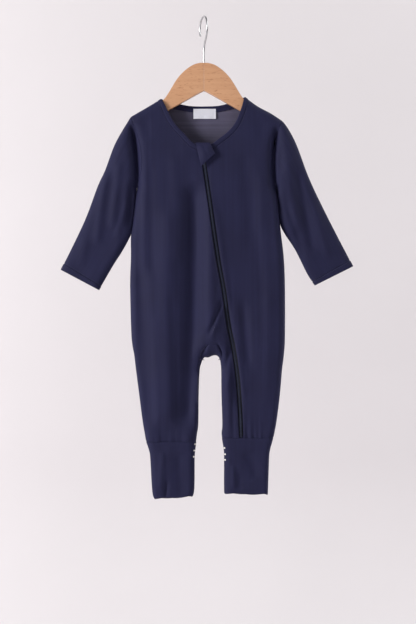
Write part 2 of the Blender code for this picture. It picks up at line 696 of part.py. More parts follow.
def coil_lines(right, left, right_column):
    """The zip's middle at each row: a point on the panels' face, the way across and the way in."""
    rows = sorted({i for i, j in left[0] if j == 0})
    lines = []
    for i in rows:
        start, end = right[0][i, right_column], left[0][i, 0]
        drop = unit((right[1][i, right_column] - start) + (left[1][i, 0] - end))
        lines.append(((start + end) / 2, unit(end - start), drop))
    return lines


def zip_coil(lines):
    """The closed coil as one plain bar with chamfered edges."""
    half = COIL_WIDTH / 2
    section = [(-half, 0.5), (-half + 0.5, 0), (half - 0.5, 0), (half, 0.5), (half, 1.2),
               (half - 0.5, COIL_HEIGHT), (-half + 0.5, COIL_HEIGHT), (-half, 1.2)]
    bm = bmesh.new()
    rings = []
    for middle, across, drop in lines:
        rings.append([bm.verts.new(Vector(middle + across * over + drop * (GAP + deep)) * MM)
                      for over, deep in section])
    count = len(section)
    for upper, lower in zip(rings, rings[1:]):
        for j in range(count):
            bm.faces.new([upper[j], lower[j], lower[(j + 1) % count], upper[(j + 1) % count]])
    bm.faces.new(rings[0])
    bm.faces.new(rings[-1][::-1])
    mesh_object("zip_coil", "zip", finish_mesh("zip_coil", bm))


def zip_frame(chains):
    """The pull's pivot: local x across the zip, y into the garment, z up the zip."""
    def on_front(z):
        return skin_point(np.array((zip_x(z), z)), FRONT, chains, body_form(z))
    up = Vector(on_front(SLIDER_Z + 6) - on_front(SLIDER_Z - 10)).normalized()
    across = Vector((1, 0, 0))
    across = (across - up * across.dot(up)).normalized()
    inward = up.cross(across)
    place = Vector(on_front(SLIDER_Z)) - inward * 2.6
    turn = Matrix((across, inward, up)).transposed().to_4x4()
    return Matrix.Translation(place * MM) @ turn


def box(bm, low, high):
    """A box between two corners, in millimetres."""
    middle = (Vector(low) + Vector(high)) / 2 * MM
    size = (Vector(high) - Vector(low)) * MM
    bmesh.ops.create_cube(bm, size=1, matrix=Matrix.Translation(middle) @ Matrix.Diagonal((*size, 1)))


def block(name, low, high):
    """A box as a hidden helper object, for a Boolean."""
    bm = bmesh.new()
    box(bm, low, high)
    helper = bpy.data.objects.new(name, finish_mesh(name, bm))
    helper.hide_render = True
    helper.display_type = "WIRE"
    bpy.context.scene.collection.objects.link(helper)
    return helper


def solid_from(name, kind, frame, start, steps):
    """A box joined to, or cut by, further boxes with Booleans. Each step is operation, low, high."""
    bm = bmesh.new()
    box(bm, *start)
    made = mesh_object(name, kind, finish_mesh(name, bm), smooth=False)
    for number, (operation, low, high) in enumerate(steps):
        helper = block(f"{name}_helper_{number}", low, high)
        cut = made.modifiers.new(f"{operation}_{number}", "BOOLEAN")
        cut.operation = operation
        cut.object = helper
        helper.matrix_world = frame
    made.matrix_world = frame
    return made


def slider_and_pull(frame):
    """Two plates joined by a post above the coil, a bridge in front, and the pull hung under it."""
    low = -SLIDER_LENGTH + 3.2
    solid_from("zip_slider", "metal", frame, ((-3.9, 1.0, low), (3.9, 2.2, 4.2)), [
        ("UNION", (-1.4, 1.6, 2.4), (1.4, 6.4, 4.2)),
        ("UNION", (-3.9, 5.6, low), (3.9, 6.5, 4.2)),
        ("UNION", (-1.0, -1.4, 1.6), (1.0, 1.6, 2.6)),
        ("UNION", (-1.0, -1.4, -3.4), (1.0, 1.6, -2.4)),
        ("UNION", (-1.0, -2.2, -3.4), (1.0, -1.2, 2.6)),
    ])
    solid_from("zip_pull", "metal", frame, ((-2.6, -0.5, -PULL_LENGTH), (2.6, 0.5, 0.5)), [
        ("DIFFERENCE", (-1.5, -2, -4.9), (1.5, 2, -0.55)),
    ])


def zip_guard(chains):
    """A folded flap over the slider: its edges stand off the front, and its middle is crowned."""
    corners = np.array(GUARD_CORNERS, float)
    shares = (0, 0.25, 0.5, 0.75, 1)
    outer, inner = {}, {}
    for i, down in enumerate(shares):
        for j, over in enumerate(shares):
            mix = np.array([(1 - down) * (1 - over), (1 - down) * over, down * over, down * (1 - over)])
            point = mix @ corners
            lift = mix @ np.array(GUARD_LIFTS) + GUARD_CROWN * math.sin(math.pi * down) * math.sin(math.pi * over)
            form = body_form(point[1])
            outer[i, j] = skin_point(point, FRONT, chains, form, lift)
            inner[i, j] = skin_point(point, FRONT, chains, form, lift - JERSEY)
    shell("zip_guard", "jersey", outer, inner, cells_between(range(4), range(4)))


# ---------------------------------------------------------------- hanger


def hanger_arm(name, sign):
    """Half of the hanger: its outline extruded, with every edge but those of the glued face rounded."""
    bm = bmesh.new()
    half = HANGER_THICKNESS / 2
    face = bm.faces.new([bm.verts.new(Vector((sign * x, -half, z)) * MM) for x, z in HANGER_HALF])
    grown = bmesh.ops.extrude_face_region(bm, geom=[face])
    moved = [item for item in grown["geom"] if isinstance(item, bmesh.types.BMVert)]
    bmesh.ops.translate(bm, verts=moved, vec=(0, HANGER_THICKNESS * MM, 0))
    bmesh.ops.recalc_face_normals(bm, faces=bm.faces)
    glued = GAP * MM
    rims = [edge for edge in bm.edges
            if abs(edge.verts[0].co.y - edge.verts[1].co.y) < 1e-6
            and not all(abs(vert.co.x) < glued for vert in edge.verts)]
    bmesh.ops.bevel(bm, geom=rims, offset=HANGER_ROUNDING * MM, segments=3, profile=0.5, affect="EDGES")
    return mesh_object(name, "beech", finish_mesh(name, bm))


def hanger_hook():
    """Wire up from the hanger, forward, and round over the seat to a short tail behind."""
    route = list(HOOK_SHANK)
    centre_z = HOOK_WIRE / 2 - HOOK_RADIUS
    for degrees in range(-15, 211, 15):
        angle = math.radians(degrees)
        route.append((-HOOK_RADIUS * math.cos(angle), centre_z + HOOK_RADIUS * math.sin(angle)))
    curve = bpy.data.curves.new("hanger_hook", "CURVE")
    curve.dimensions = "3D"
    curve.bevel_depth = HOOK_WIRE / 2 * MM
    curve.bevel_resolution = 3
    curve.use_fill_caps = True
    spline = curve.splines.new("POLY")
    spline.points.add(len(route) - 1)
    shank_top = HOOK_SHANK[2][1]
    for point, (reach, z) in zip(spline.points, route):
        shift = HOOK_SEAT_X * ease((z - shank_top) / (HOOK_RADIUS + abs(centre_z)))
        place = Vector((shift - reach * math.sin(HOOK_TURN), reach * math.cos(HOOK_TURN), z)) * MM
        point.co = (*place, 1)
    made = bpy.data.objects.new("hanger_hook", curve)
    curve.materials.append(material("hanger_hook", "metal"))
    bpy.context.scene.collection.objects.link(made)


def main():
    clear_scene()
    chains = outline_chains()
    body = chains["body"]
    necks = neck_lines()
    right, left = body_panels(body, necks)
    crotch_gusset(body)
    sleeve("sleeve_right", chains["right"], ARMHOLE_RIGHT, OUTER_RIGHT, INNER_RIGHT, -1)
    sleeve("sleeve_left", chains["left"], ARMHOLE_LEFT, OUTER_LEFT, INNER_LEFT, 1)
    cuffs(body)
    neck_binding(body, necks)
    neck_label(body)
    last = max(j for i, j in right[0])
    zip_tape("zip_tape_right", right, last, last - 1)
    zip_tape("zip_tape_left", left, 0, 1)
    zip_coil(coil_lines(right, left, last))
    slider_and_pull(zip_frame(body))
    zip_guard(body)
    hanger_arm("hanger_arm_right", -1)
    hanger_arm("hanger_arm_left", 1)
    hanger_hook()


main()
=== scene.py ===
# %% [markdown]
# # A baby's zip sleepsuit on a small wooden hanger
# The real thing is a navy jersey sleepsuit with a slanted zip, hung empty on a child's hanger.
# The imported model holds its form. This lesson gives it the looks: thin cloth with soft folds,
# seams and hems, a zip with teeth, beech with grain, and bright wire.

# %% Load the fixed frame
import json
import math

import bpy
import numpy as np
from mathutils import Matrix, Vector, noise

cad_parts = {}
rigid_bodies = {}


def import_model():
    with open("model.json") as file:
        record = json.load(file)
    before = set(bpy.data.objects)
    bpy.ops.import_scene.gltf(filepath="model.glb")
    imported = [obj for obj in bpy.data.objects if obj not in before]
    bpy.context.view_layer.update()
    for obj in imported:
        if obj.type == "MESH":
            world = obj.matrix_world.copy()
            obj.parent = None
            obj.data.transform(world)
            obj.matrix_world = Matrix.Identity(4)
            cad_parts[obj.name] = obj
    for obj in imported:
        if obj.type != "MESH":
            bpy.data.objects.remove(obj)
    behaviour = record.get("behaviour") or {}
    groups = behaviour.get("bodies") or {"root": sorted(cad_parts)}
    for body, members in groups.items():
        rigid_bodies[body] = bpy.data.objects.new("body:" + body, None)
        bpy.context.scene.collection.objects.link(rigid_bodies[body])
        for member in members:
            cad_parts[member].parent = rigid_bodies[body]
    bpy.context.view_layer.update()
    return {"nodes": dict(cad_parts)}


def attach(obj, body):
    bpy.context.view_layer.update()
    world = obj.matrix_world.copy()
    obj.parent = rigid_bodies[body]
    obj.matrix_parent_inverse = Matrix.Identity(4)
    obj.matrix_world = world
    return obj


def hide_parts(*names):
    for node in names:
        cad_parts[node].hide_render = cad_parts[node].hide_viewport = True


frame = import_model()
MM = 0.001
GARMENT = "garment"  # the body that the suit and the hanger share

# %% [markdown]
# ## Camera, light and backdrop
# The suit is seen straight on, so a long lens far away keeps its sides parallel. A big soft light
# from the left front rakes over the folds, and a pale cove behind takes the place of the room.

# %% Camera
VIEW_HEIGHT = 0.998  # how much of the scene the frame's long side takes in
CAMERA_AT = Vector((0.0064, -2.4, -0.471))
camera_data = bpy.data.cameras.new("camera")
camera_data.sensor_width = 36
camera_data.lens = 36 * -CAMERA_AT.y / VIEW_HEIGHT
camera = bpy.data.objects.new("camera", camera_data)
camera.location = CAMERA_AT
camera.rotation_euler = (math.radians(90), 0, 0)
bpy.context.scene.collection.objects.link(camera)
bpy.context.scene.camera = camera
bpy.context.scene.view_settings.view_transform = "Standard"
print("lens", round(camera_data.lens, 1), "mm")


# %% Lights
def area_light(name, place, target, size, power, colour=(1, 1, 1)):
    """A square soft light that looks at a target."""
    data = bpy.data.lights.new(name, "AREA")
    data.size = size
    data.energy = power
    data.color = colour
    light = bpy.data.objects.new(name, data)
    light.location = place
    light.rotation_euler = (Vector(target) - Vector(place)).to_track_quat("-Z", "Y").to_euler()
    bpy.context.scene.collection.objects.link(light)


MIDDLE = (0, 0, -0.42)
area_light("key", (-2.3, -1.3, 0.2), MIDDLE, 0.8, 74, (1.0, 0.985, 0.98))
area_light("fill", (1.2, -2.6, 0.5), MIDDLE, 1.6, 5, (1.0, 0.97, 1.0))
area_light("wall_wash", (1.9, -0.15, 1.1), (1.3, 0.55, -0.6), 1.6, 36)
world = bpy.data.worlds.new("studio")
world.use_nodes = True
world.node_tree.nodes["Background"].inputs["Color"].default_value = (0.95, 0.93, 0.95, 1)
world.node_tree.nodes["Background"].inputs["Strength"].default_value = 0.2
bpy.context.scene.world = world
print("three soft lights and a pale surround")

# %% Cove
FLOOR_Z, WALL_Y, COVE_RADIUS = -1.12, 0.55, 0.35
COVE_NEAR_Y, COVE_TOP_Z, COVE_SIDE_X = -3.2, 1.6, 3.5
profile = [(COVE_NEAR_Y, FLOOR_Z)]
for turn in np.linspace(0, math.pi / 2, 17):
    profile.append((WALL_Y - COVE_RADIUS + COVE_RADIUS * math.sin(turn),
                    FLOOR_Z + COVE_RADIUS * (1 - math.cos(turn))))
profile.append((WALL_Y, COVE_TOP_Z))
cove_mesh = bpy.data.meshes.new("cove")
cove_mesh.from_pydata([(x, y, z) for y, z in profile for x in (-COVE_SIDE_X, COVE_SIDE_X)], [],
                      [(i, i + 1, i + 3, i + 2) for i in range(0, 2 * len(profile) - 2, 2)])
cove_mesh.shade_smooth()
cove = bpy.data.objects.new("cove", cove_mesh)
bpy.context.scene.collection.objects.link(cove)
print("cove floor at", FLOOR_Z, "m")

# %% [markdown]
# ## A small language for shader maths
# Node trees are hard to read as chains of calls. One small class wraps a socket, so that sums and
# products are written as sums and products, and one method makes every other node.


# %% Wrapped sockets and nodes
class Value:
    """A socket of numbers; arithmetic on it adds Math nodes."""

    def __init__(self, shader, socket):
        self.shader, self.socket = shader, socket

    def _math(self, operation, first, second):
        return self.shader.node("ShaderNodeMath", {"operation": operation}, {0: first, 1: second})["Value"]

    def __add__(self, other):
        return self._math("ADD", self, other)

    def __sub__(self, other):
        return self._math("SUBTRACT", self, other)

    def __rsub__(self, other):
        return self._math("SUBTRACT", other, self)

    def __mul__(self, other):
        return self._math("MULTIPLY", self, other)

    __radd__, __rmul__ = __add__, __mul__


class Outputs:
    """The outputs of a node, by name, as wrapped sockets."""

    def __init__(self, shader, node):
        self.shader, self.node = shader, node

    def __getitem__(self, name):
        return Value(self.shader, self.node.outputs[name])


class Shader:
    """A material's node tree, with its Principled shader at hand."""

    def __init__(self, name):
        self.material = bpy.data.materials.new(name)
        self.material.use_nodes = True
        self.tree = self.material.node_tree
        self.principled = self.tree.nodes["Principled BSDF"]

    def node(self, kind, settings=None, inputs=None):
        made = self.tree.nodes.new(kind)
        for name, value in (settings or {}).items():
            if name == "stops":
                ramp = made.color_ramp
                while len(ramp.elements) < len(value):
                    ramp.elements.new(0.5)
                for element, (position, colour) in zip(ramp.elements, value):
                    element.position, element.color = position, (*colour, 1)
            else:
                setattr(made, name, value)
        for name, value in (inputs or {}).items():
            self.feed(made.inputs[name], value)
        return Outputs(self, made)

    def feed(self, socket, value):
        if isinstance(value, Value):
            self.tree.links.new(value.socket, socket)
        else:
            socket.default_value = value

    def set(self, **values):
        """Feeds the Principled shader: roughness=..., base_color=... and so on."""
        for name, value in values.items():
            self.feed(self.principled.inputs[name.replace("_", " ").title().replace("Ior", "IOR")], value)

    def mix(self, factor, first, second):
        """One colour or the other, by a factor."""
        made = self.tree.nodes.new("ShaderNodeMix")
        made.data_type = "RGBA"
        for socket, value in ((0, factor), (6, first), (7, second)):
            self.feed(made.inputs[socket], value)
        return Value(self, made.outputs[2])

    def noise(self, coordinates, scale, detail=2.0, roughness=0.5):
        return self.node("ShaderNodeTexNoise", {}, {
            "Vector": coordinates, "Scale": scale, "Detail": detail, "Roughness": roughness})["Fac"]

    def wave(self, coordinates, scale, direction, distortion=0.0):
        return self.node("ShaderNodeTexWave", {"bands_direction": direction}, {
            "Vector": coordinates, "Scale": scale, "Distortion": distortion, "Detail": 1.0})["Fac"]

    def stretched(self, coordinates, scale):
        return self.node("ShaderNodeMapping", {}, {"Vector": coordinates, "Scale": scale})["Vector"]

    def bump(self, height, distance, strength=1.0):
        bump = self.node("ShaderNodeBump", {}, {
            "Height": height, "Distance": distance, "Strength": strength})
        self.set(normal=bump["Normal"])

    def object_coordinates(self):
        return self.node("ShaderNodeTexCoord")["Object"]

    def cloth_coordinates(self):
        """Metres across and along the cloth's grain, from the piece's own map."""
        return self.node("ShaderNodeUVMap", {"uv_map": "Grain"})["UV"]


def linear(red, green, blue):
    """A colour given as it looks on a screen, 0 to 255, as the shader's own numbers."""
    values = [part / 255 for part in (red, green, blue)]
    return (*[part / 12.92 if part < 0.04045 else ((part + 0.055) / 1.055) ** 2.4 for part in values], 1)


print("shader helpers ready")

# %% [markdown]
# ## The cove's paint
# The wall behind a hung suit would hide it from anyone who walks round to the back. So the cove is
# matt paint on the side that faces the suit, and clear on its other side.

# %% Painted in front, clear behind
cove_paint = Shader("painted_cove")
mottle = cove_paint.noise(cove_paint.object_coordinates(), 3.0, 3)
cove_paint.set(base_color=cove_paint.mix(mottle, linear(222, 218, 220), linear(228, 224, 226)),
               roughness=0.9)
cove_paint.bump(mottle, 0.0005, 0.2)
painted = Value(cove_paint, cove_paint.principled.outputs["BSDF"])
clear = cove_paint.node("ShaderNodeBsdfTransparent")["BSDF"]
backfacing = cove_paint.node("ShaderNodeNewGeometry")["Backfacing"]
mixed = cove_paint.node("ShaderNodeMixShader", {}, {0: backfacing, 1: painted, 2: clear})["Shader"]
cove_paint.feed(cove_paint.tree.nodes["Material Output"].inputs["Surface"], mixed)
cove_mesh.materials.append(cove_paint.material)
print("cove painted on", len(cove_mesh.polygons), "faces")

# %% [markdown]
# ## Materials of the cloth
# Viscose jersey is smooth and heavy. Its face shows fine upright rows of loops, its reverse shows
# them as short level bars and looks greyer. Both are too fine to model, so they are bump and a
# slight change of colour, laid on the cloth's own grain and not on the room.

# %% Jersey, face and reverse
WALE, COURSE = 0.0009, 0.0007  # spacing of the upright rows of loops and of the level ones
TWILL, RIB = 0.0008, 0.0006  # spacing of the tape's weave and of the label's
WAVE_BANDS = 20 / (2 * math.pi)  # a Wave node repeats this many times a unit at scale 1


def jersey(name, colour, dark, bars):
    """bars is true on the reverse, where the loops lie level."""
    shader = Shader(name)
    grain = shader.cloth_coordinates()
    wales = shader.wave(grain, 1 / WALE / WAVE_BANDS, "X", 0.4)
    courses = shader.wave(grain, 1 / COURSE / WAVE_BANDS, "Y", 0.4)
    streaks = shader.noise(shader.stretched(grain, (4, 260, 1) if bars else (240, 5, 1)), 1.0, 3)
    cloud = shader.noise(grain, 14.0, 3)
    depth = streaks * 0.5 + cloud * 0.5
    tone = shader.mix((depth - 0.3) * 2.0, dark, colour)
    loops = (courses if bars else wales) * 0.12
    shader.set(base_color=shader.mix(loops, tone, linear(20, 20, 30)), roughness=0.62 + cloud * 0.14,
               sheen_weight=0.12, sheen_roughness=0.4, sheen_tint=(0.4, 0.42, 0.85, 1),
               specular_ior_level=0.14)
    height = wales * (0.3 if bars else 0.7) + courses * (0.8 if bars else 0.4) + streaks * 0.5
    shader.bump(height, 0.00012, 0.6)
    return shader.material


FACE = jersey("jersey_face", linear(40, 41, 73), linear(32, 32, 59), False)
REVERSE = jersey("jersey_reverse", linear(106, 103, 128), linear(78, 75, 94), True)
print("jersey with loops every", WALE * 1000, "mm")


# %% Thread, coil, zip tape, label and grip marks
def plain_fibre(name, colour, shade, scale, roughness, depth=0.0001):
    """Fine fibre: a twisted or woven surface with a little change of tone."""
    shader = Shader(name)
    place = shader.object_coordinates()
    fine = shader.noise(place, scale, 4, 0.6)
    coarse = shader.noise(place, 30.0, 2)
    shader.set(base_color=shader.mix(fine * 0.6 + coarse * 0.4, shade, colour),
               roughness=roughness - fine * 0.15, sheen_weight=0.05, specular_ior_level=0.3)
    shader.bump(fine, depth, 0.7)
    return shader.material


THREAD = plain_fibre("navy_thread", linear(60, 60, 92), linear(30, 30, 48), 2400.0, 0.65)
COIL = plain_fibre("zip_coil", linear(60, 66, 90), linear(40, 45, 64), 900.0, 0.5, 0.00005)


def tape_material():
    """Zip tape: a herringbone weave along the zip."""
    shader = Shader("zip_tape")
    grain = shader.cloth_coordinates()
    twill = shader.wave(grain, 1 / TWILL / WAVE_BANDS, "DIAGONAL")
    patches = shader.noise(grain, 90.0, 2)
    # The tape's near-black colour is partly its own dark navy and partly painted shade: it stands for the
    # shadow in the gap between the panels' edges on each side of the coil.
    shader.set(base_color=shader.mix(twill * 0.5 + patches * 0.3, linear(9, 10, 16), linear(24, 26, 38)),
               roughness=0.7 + patches * 0.1, sheen_weight=0.05, specular_ior_level=0.2)
    shader.bump(twill, 0.00015, 0.8)
    return shader.material


def label_material():
    """Woven satin: fine ribs across, with small flecks of shade."""
    shader = Shader("woven_label")
    grain = shader.cloth_coordinates()
    ribs = shader.wave(grain, 1 / RIB / WAVE_BANDS, "Y", 0.3)
    fleck = shader.noise(grain, 700.0, 3)
    tone = shader.mix(ribs * 0.5 + fleck * 0.5, linear(206, 210, 226), linear(244, 245, 250))
    shader.set(base_color=tone, roughness=0.5 + fleck * 0.2, sheen_weight=0.3)
    shader.bump(ribs + fleck * 0.4, 0.00012, 0.7)
    return shader.material


def grip_material():
    """Printed silicone: smooth pale domes with a thin gloss and a little dust."""
    shader = Shader("silicone_grip")
    dust = shader.noise(shader.object_coordinates(), 1500.0, 3)
    shader.set(base_color=shader.mix(dust, linear(214, 212, 206), linear(246, 245, 240)),
               roughness=0.3 + dust * 0.2, coat_weight=0.3)
    shader.bump(dust, 0.00004)
    return shader.material


ZIP_TAPE = tape_material()
LABEL = label_material()
GRIP = grip_material()
print("thread, tape, label and grip materials made")

# %% [markdown]
# ## The suit's form
# Laid flat, the suit is two skins that meet at its outline. Short tables, much like those of the
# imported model, give the outline, the neck and the fork through smooth curves. Each skin rises from
# the outline in a quarter ellipse and then lies nearly flat.

# %% Outline tables, in millimetres of the front view
FRONT, BACK = -1, 1
NECK_RIGHT = [(-68, -130), (-61, -143), (-52, -162), (-43, -175), (-31.5, -187), (-20.5, -199),
              (-8.2, -207)]
NECK_LEFT = [(-1, -208), (14, -202.5), (24, -195), (34.6, -187), (45.6, -176), (53, -163.5), (59.5, -146),
             (65, -127)]
NECK_BACK = [(-68, -130), (-52, -134.5), (-36, -137.8), (-17, -140.6), (18, -140.4), (36, -137), (50, -133),
             (65, -127)]
SHOULDER_RIGHT = [(-68, -130), (-92, -144.5), (-117, -159)]
SHOULDER_LEFT = [(65, -127), (86, -142.3), (107, -153.5), (126, -166)]
ARMHOLE_RIGHT = [(-117, -159), (-107, -186), (-101, -208), (-98.6, -227), (-100.5, -250), (-107.2, -272)]
ARMHOLE_LEFT = [(126, -166), (116, -188), (110, -208), (107.6, -227), (109.5, -250), (115.8, -272)]
OUTER_RIGHT = [(-117, -159), (-130, -180), (-144, -206), (-158, -244), (-170, -270), (-189, -321),
               (-213, -372), (-229, -403.5)]
INNER_RIGHT = [(-107.3, -271.6), (-108.2, -284), (-109.9, -300), (-113.3, -330), (-116.2, -346),
               (-129, -371), (-146, -398), (-168, -436)]
OUTER_LEFT = [(126, -166), (136, -180), (149, -206), (168, -257), (192, -308), (218, -359), (238.4, -398)]
INNER_LEFT = [(115.5, -271.6), (116.6, -284), (118.0, -300), (120.8, -328), (129, -346), (146, -372),
              (165, -410), (177.4, -428.5)]
# z, x of the wearer's right side, x of the left side
SIDES = [(-272, -107.2, 115.8), (-300, -110.5, 118.6), (-330, -114.0, 121.6), (-350, -117.0, 123.8),
         (-385, -117.2, 127.8), (-430, -118.4, 129.6), (-510, -116.2, 129.6), (-540, -111.8, 127.8),
         (-565, -108.8, 124.8), (-602, -104.0, 121.6), (-641, -99.0, 116.8), (-665, -95.0, 112.6),
         (-678, -92.6, 109.4), (-692, -88.0, 105.6), (-705, -86.0, 104.2), (-756, -83.0, 102.4),
         (-771, -79.5, 101.6)]
# z, x of the right leg's inner edge, x of the left leg's
INSEAMS = [(-549, -2.6, 25.5), (-564, -6.4, 27.0), (-602, -8.0, 27.4), (-650, -8.6, 28.8),
           (-665, -10.6, 27.6), (-678, -12.2, 29.4), (-692, -13.8, 31.6), (-705, -14.8, 32.0),
           (-756, -15.6, 32.0), (-771, -21.0, 33.5)]
# z, x of the gusset's right and left seams
FORK = [(-522, 8.0, 21.0), (-532, -1.0, 27.5), (-541, -4.0, 28.5), (-549, -2.6, 25.5)]
CROTCH = [(-2.6, -549), (0.2, -544.0), (6.5, -544.2), (12, -541.8), (18.3, -540.4), (23.6, -543.2),
          (25.5, -549)]
CHEST_Z, FORK_TOP_Z, CROTCH_Z = -272, -522, -549
RIGHT_SEAM_Z, LEFT_SEAM_Z = -677.7, -671.7  # where each leg is sewn to its cuff
# x of the gusset's two seam lines where they meet the chest
FORK_AT_CHEST = {FRONT: (-22.0, -11.0), BACK: (0.0, 10.0)}
# z, x of the zip's middle line
ZIP = [(-204, -4.8), (-241, 1.3), (-289, 8.3), (-330, 14.1), (-388, 22.7), (-434, 31.2), (-489, 38.9),
       (-526, 46.4), (-564, 52.2), (-612, 56.6), (-680, 59.6)]
# z, depth of a skin, width of its turn at the edge
BODY_FORM = [(-125, 10.5, 12), (-180, 12.5, 13), (-272, 16.5, 19), (-400, 18, 24), (-510, 18, 22),
             (-560, 15, 20), (-620, 13, 18), (-676, 11.5, 15), (-705, 9.5, 12), (-771, 7.5, 11)]
# share of a sleeve, depth, turn
SLEEVE_FORM = [(0, 13, 14), (0.35, 12, 15), (0.7, 9.5, 14), (1, 7, 12)]
SLEEVE_BLEND = 0.3  # share of a sleeve over which the body's form turns into the sleeve's own
BAND, GAP = 7.5, 0.3  # width of the neck binding, and the gap between neighbours
JERSEY, DOUBLED = 1.0, 1.9  # thickness of one layer of cloth and of two
ZIP_HALF_GAP = 3.6  # from the zip's middle to each panel's edge


# %% Curves through a table
def smooth(points, steps=10):
    """A dense smooth curve through a few points."""
    points = np.array(points, float)
    padded = np.vstack([2 * points[0] - points[1], points, 2 * points[-1] - points[-2]])
    fine = []
    for before, start, end, after in zip(padded, padded[1:], padded[2:], padded[3:]):
        for t in np.linspace(0, 1, steps, endpoint=False):
            fine.append(0.5 * (2 * start + (end - before) * t
                               + (2 * before - 5 * start + 4 * end - after) * t**2
                               + (3 * start - before - 3 * end + after) * t**3))
    return np.array(fine + [points[-1]])


def steps_of(points):
    """The distance from each point of a line to the next."""
    return np.linalg.norm(np.diff(points, axis=0), axis=1)


def reach_of(points):
    """How far along its line each point is."""
    return np.concatenate([[0], np.cumsum(steps_of(points))])


def at(wanted, reach, values):
    """Values given along a line, read where they are wanted."""
    return np.stack([np.interp(wanted, reach, column) for column in values.T], axis=1)


def along(points, shares):
    """Points at shares of a line's length."""
    points = np.array(points, float)
    reach = reach_of(points)
    return at(np.array(shares) * reach[-1], reach, points)


def read(table, z, column):
    """A column of a table at a height, or at many."""
    rows = np.array(table, float)
    return np.interp(-np.asarray(z, float), -rows[:, 0], rows[:, column])


SIDES, INSEAMS, ZIP, BODY_FORM = (smooth(table) for table in (SIDES, INSEAMS, ZIP, BODY_FORM))
FORK = smooth(FORK, 16)
CROTCH_LINE = smooth(CROTCH)
print("outline curves:", len(SIDES), "points a side")


# %% Edges, and the way in from them
def chain(points):
    """An edge with the cloth on the left of its travel: its points, and the inward normal at each."""
    points = np.array(points, float)
    runs = np.diff(points, axis=0)
    inward = np.stack([-runs[:, 1], runs[:, 0]], axis=1)
    inward /= np.linalg.norm(inward, axis=1)[:, None]
    inward = np.vstack([inward[:1], inward[:-1] + inward[1:], inward[-1:]])
    return points, inward / np.linalg.norm(inward, axis=1)[:, None]


def upright(table, column):
    return table[:, [column, 0]]


outer_right = chain(np.vstack([smooth(SHOULDER_RIGHT), smooth(OUTER_RIGHT)[1:]]))
outer_left = chain(np.vstack([smooth(SHOULDER_LEFT), smooth(OUTER_LEFT)[1:]])[::-1])
fork_edge = np.vstack([upright(INSEAMS, 1)[::-1], CROTCH_LINE[1:-1], upright(INSEAMS, 2)])
BODY_EDGES = [outer_right, outer_left, chain(upright(SIDES, 1)), chain(upright(SIDES, 2)[::-1]),
              chain(fork_edge)]
SLEEVE_EDGES = {"right": [outer_right, chain(smooth(INNER_RIGHT)[::-1])],
                "left": [outer_left, chain(smooth(INNER_LEFT))]}


def nearest_edge(points, chains):
    """For many points: distance to the nearest edge and the unit way in from there."""
    nearest = np.full(len(points), np.inf)
    way_in = np.zeros((len(points), 2))
    for line, inward in chains:
        starts, runs = line[:-1], np.diff(line, axis=0)
        offset = points[:, None, :] - starts[None]
        share = np.clip((offset * runs).sum(2) / (runs**2).sum(1), 0, 1)
        away = offset - share[..., None] * runs
        far = np.linalg.norm(away, axis=2)
        best = far.argmin(axis=1)
        rows = np.arange(len(points))
        closer = far[rows, best] < nearest
        mix = share[rows, best][:, None]
        normal = inward[best] * (1 - mix) + inward[best + 1] * mix
        normal /= np.linalg.norm(normal, axis=1)[:, None]
        found = far[rows, best][:, None]
        direct = away[rows, best] / np.maximum(found, 1e-6)
        blend = np.clip((found - 0.3) / 0.6, 0, 1)
        way = direct * blend + normal * (1 - blend)
        way /= np.maximum(np.linalg.norm(way, axis=1)[:, None], 1e-6)
        nearest = np.where(closer, found[:, 0], nearest)
        way_in = np.where(closer[:, None], way, way_in)
    return nearest, way_in


print("edges of the body:", len(BODY_EDGES))

# %% [markdown]
# ## Folds and creases
# Jersey hung on a hanger falls in a few long, soft folds, with shorter creases at the fork, the
# armholes and the cuffs. Simulation would lose the pressed look, so each is listed as a
# trough or a ridge along a slightly bowed line. Small even waves from noise finish the surface.

# %% Folds: side, x and z of one end and of the other, half-width, height, bow
FOLDS = [
    (FRONT, -17, -255, -30, -664, 14, -5.8, 7),
    (FRONT, -57, -290, -59, -664, 15, 3.0, 0),
    (FRONT, -99, -385, -88, -668, 9, -2.3, 0),
    (FRONT, 8, -270, 11, -530, 11, 2.6, 0),
    (FRONT, 60, -440, 72, -575, 8, -2.4, 0),
    (FRONT, 36, -440, 57, -640, 8, -2.8, -1.5),
    (FRONT, -104, -275, -100, -600, 7, -1.9, -2),
    (FRONT, 100, -430, 96, -650, 11, 1.7, 3),
    (FRONT, -117, -158, -107, -290, 8.5, -4.6, 4),
    (FRONT, -113, -250, -121, -352, 6, -3.6, 0),
    (FRONT, 119, -164, 116, -290, 8.5, -4.6, -6),
    (BACK, -112, -175, -105, -262, 8, -3.2, 0),
    (BACK, 118, -182, 113, -262, 8, -3.2, 0),
    (BACK, 44, -250, 36, -650, 18, -4.0, 0),
    (BACK, 84, -300, 80, -650, 16, 2.5, 0),
    (BACK, -42, -300, -54, -640, 15, -3.0, 0),
]
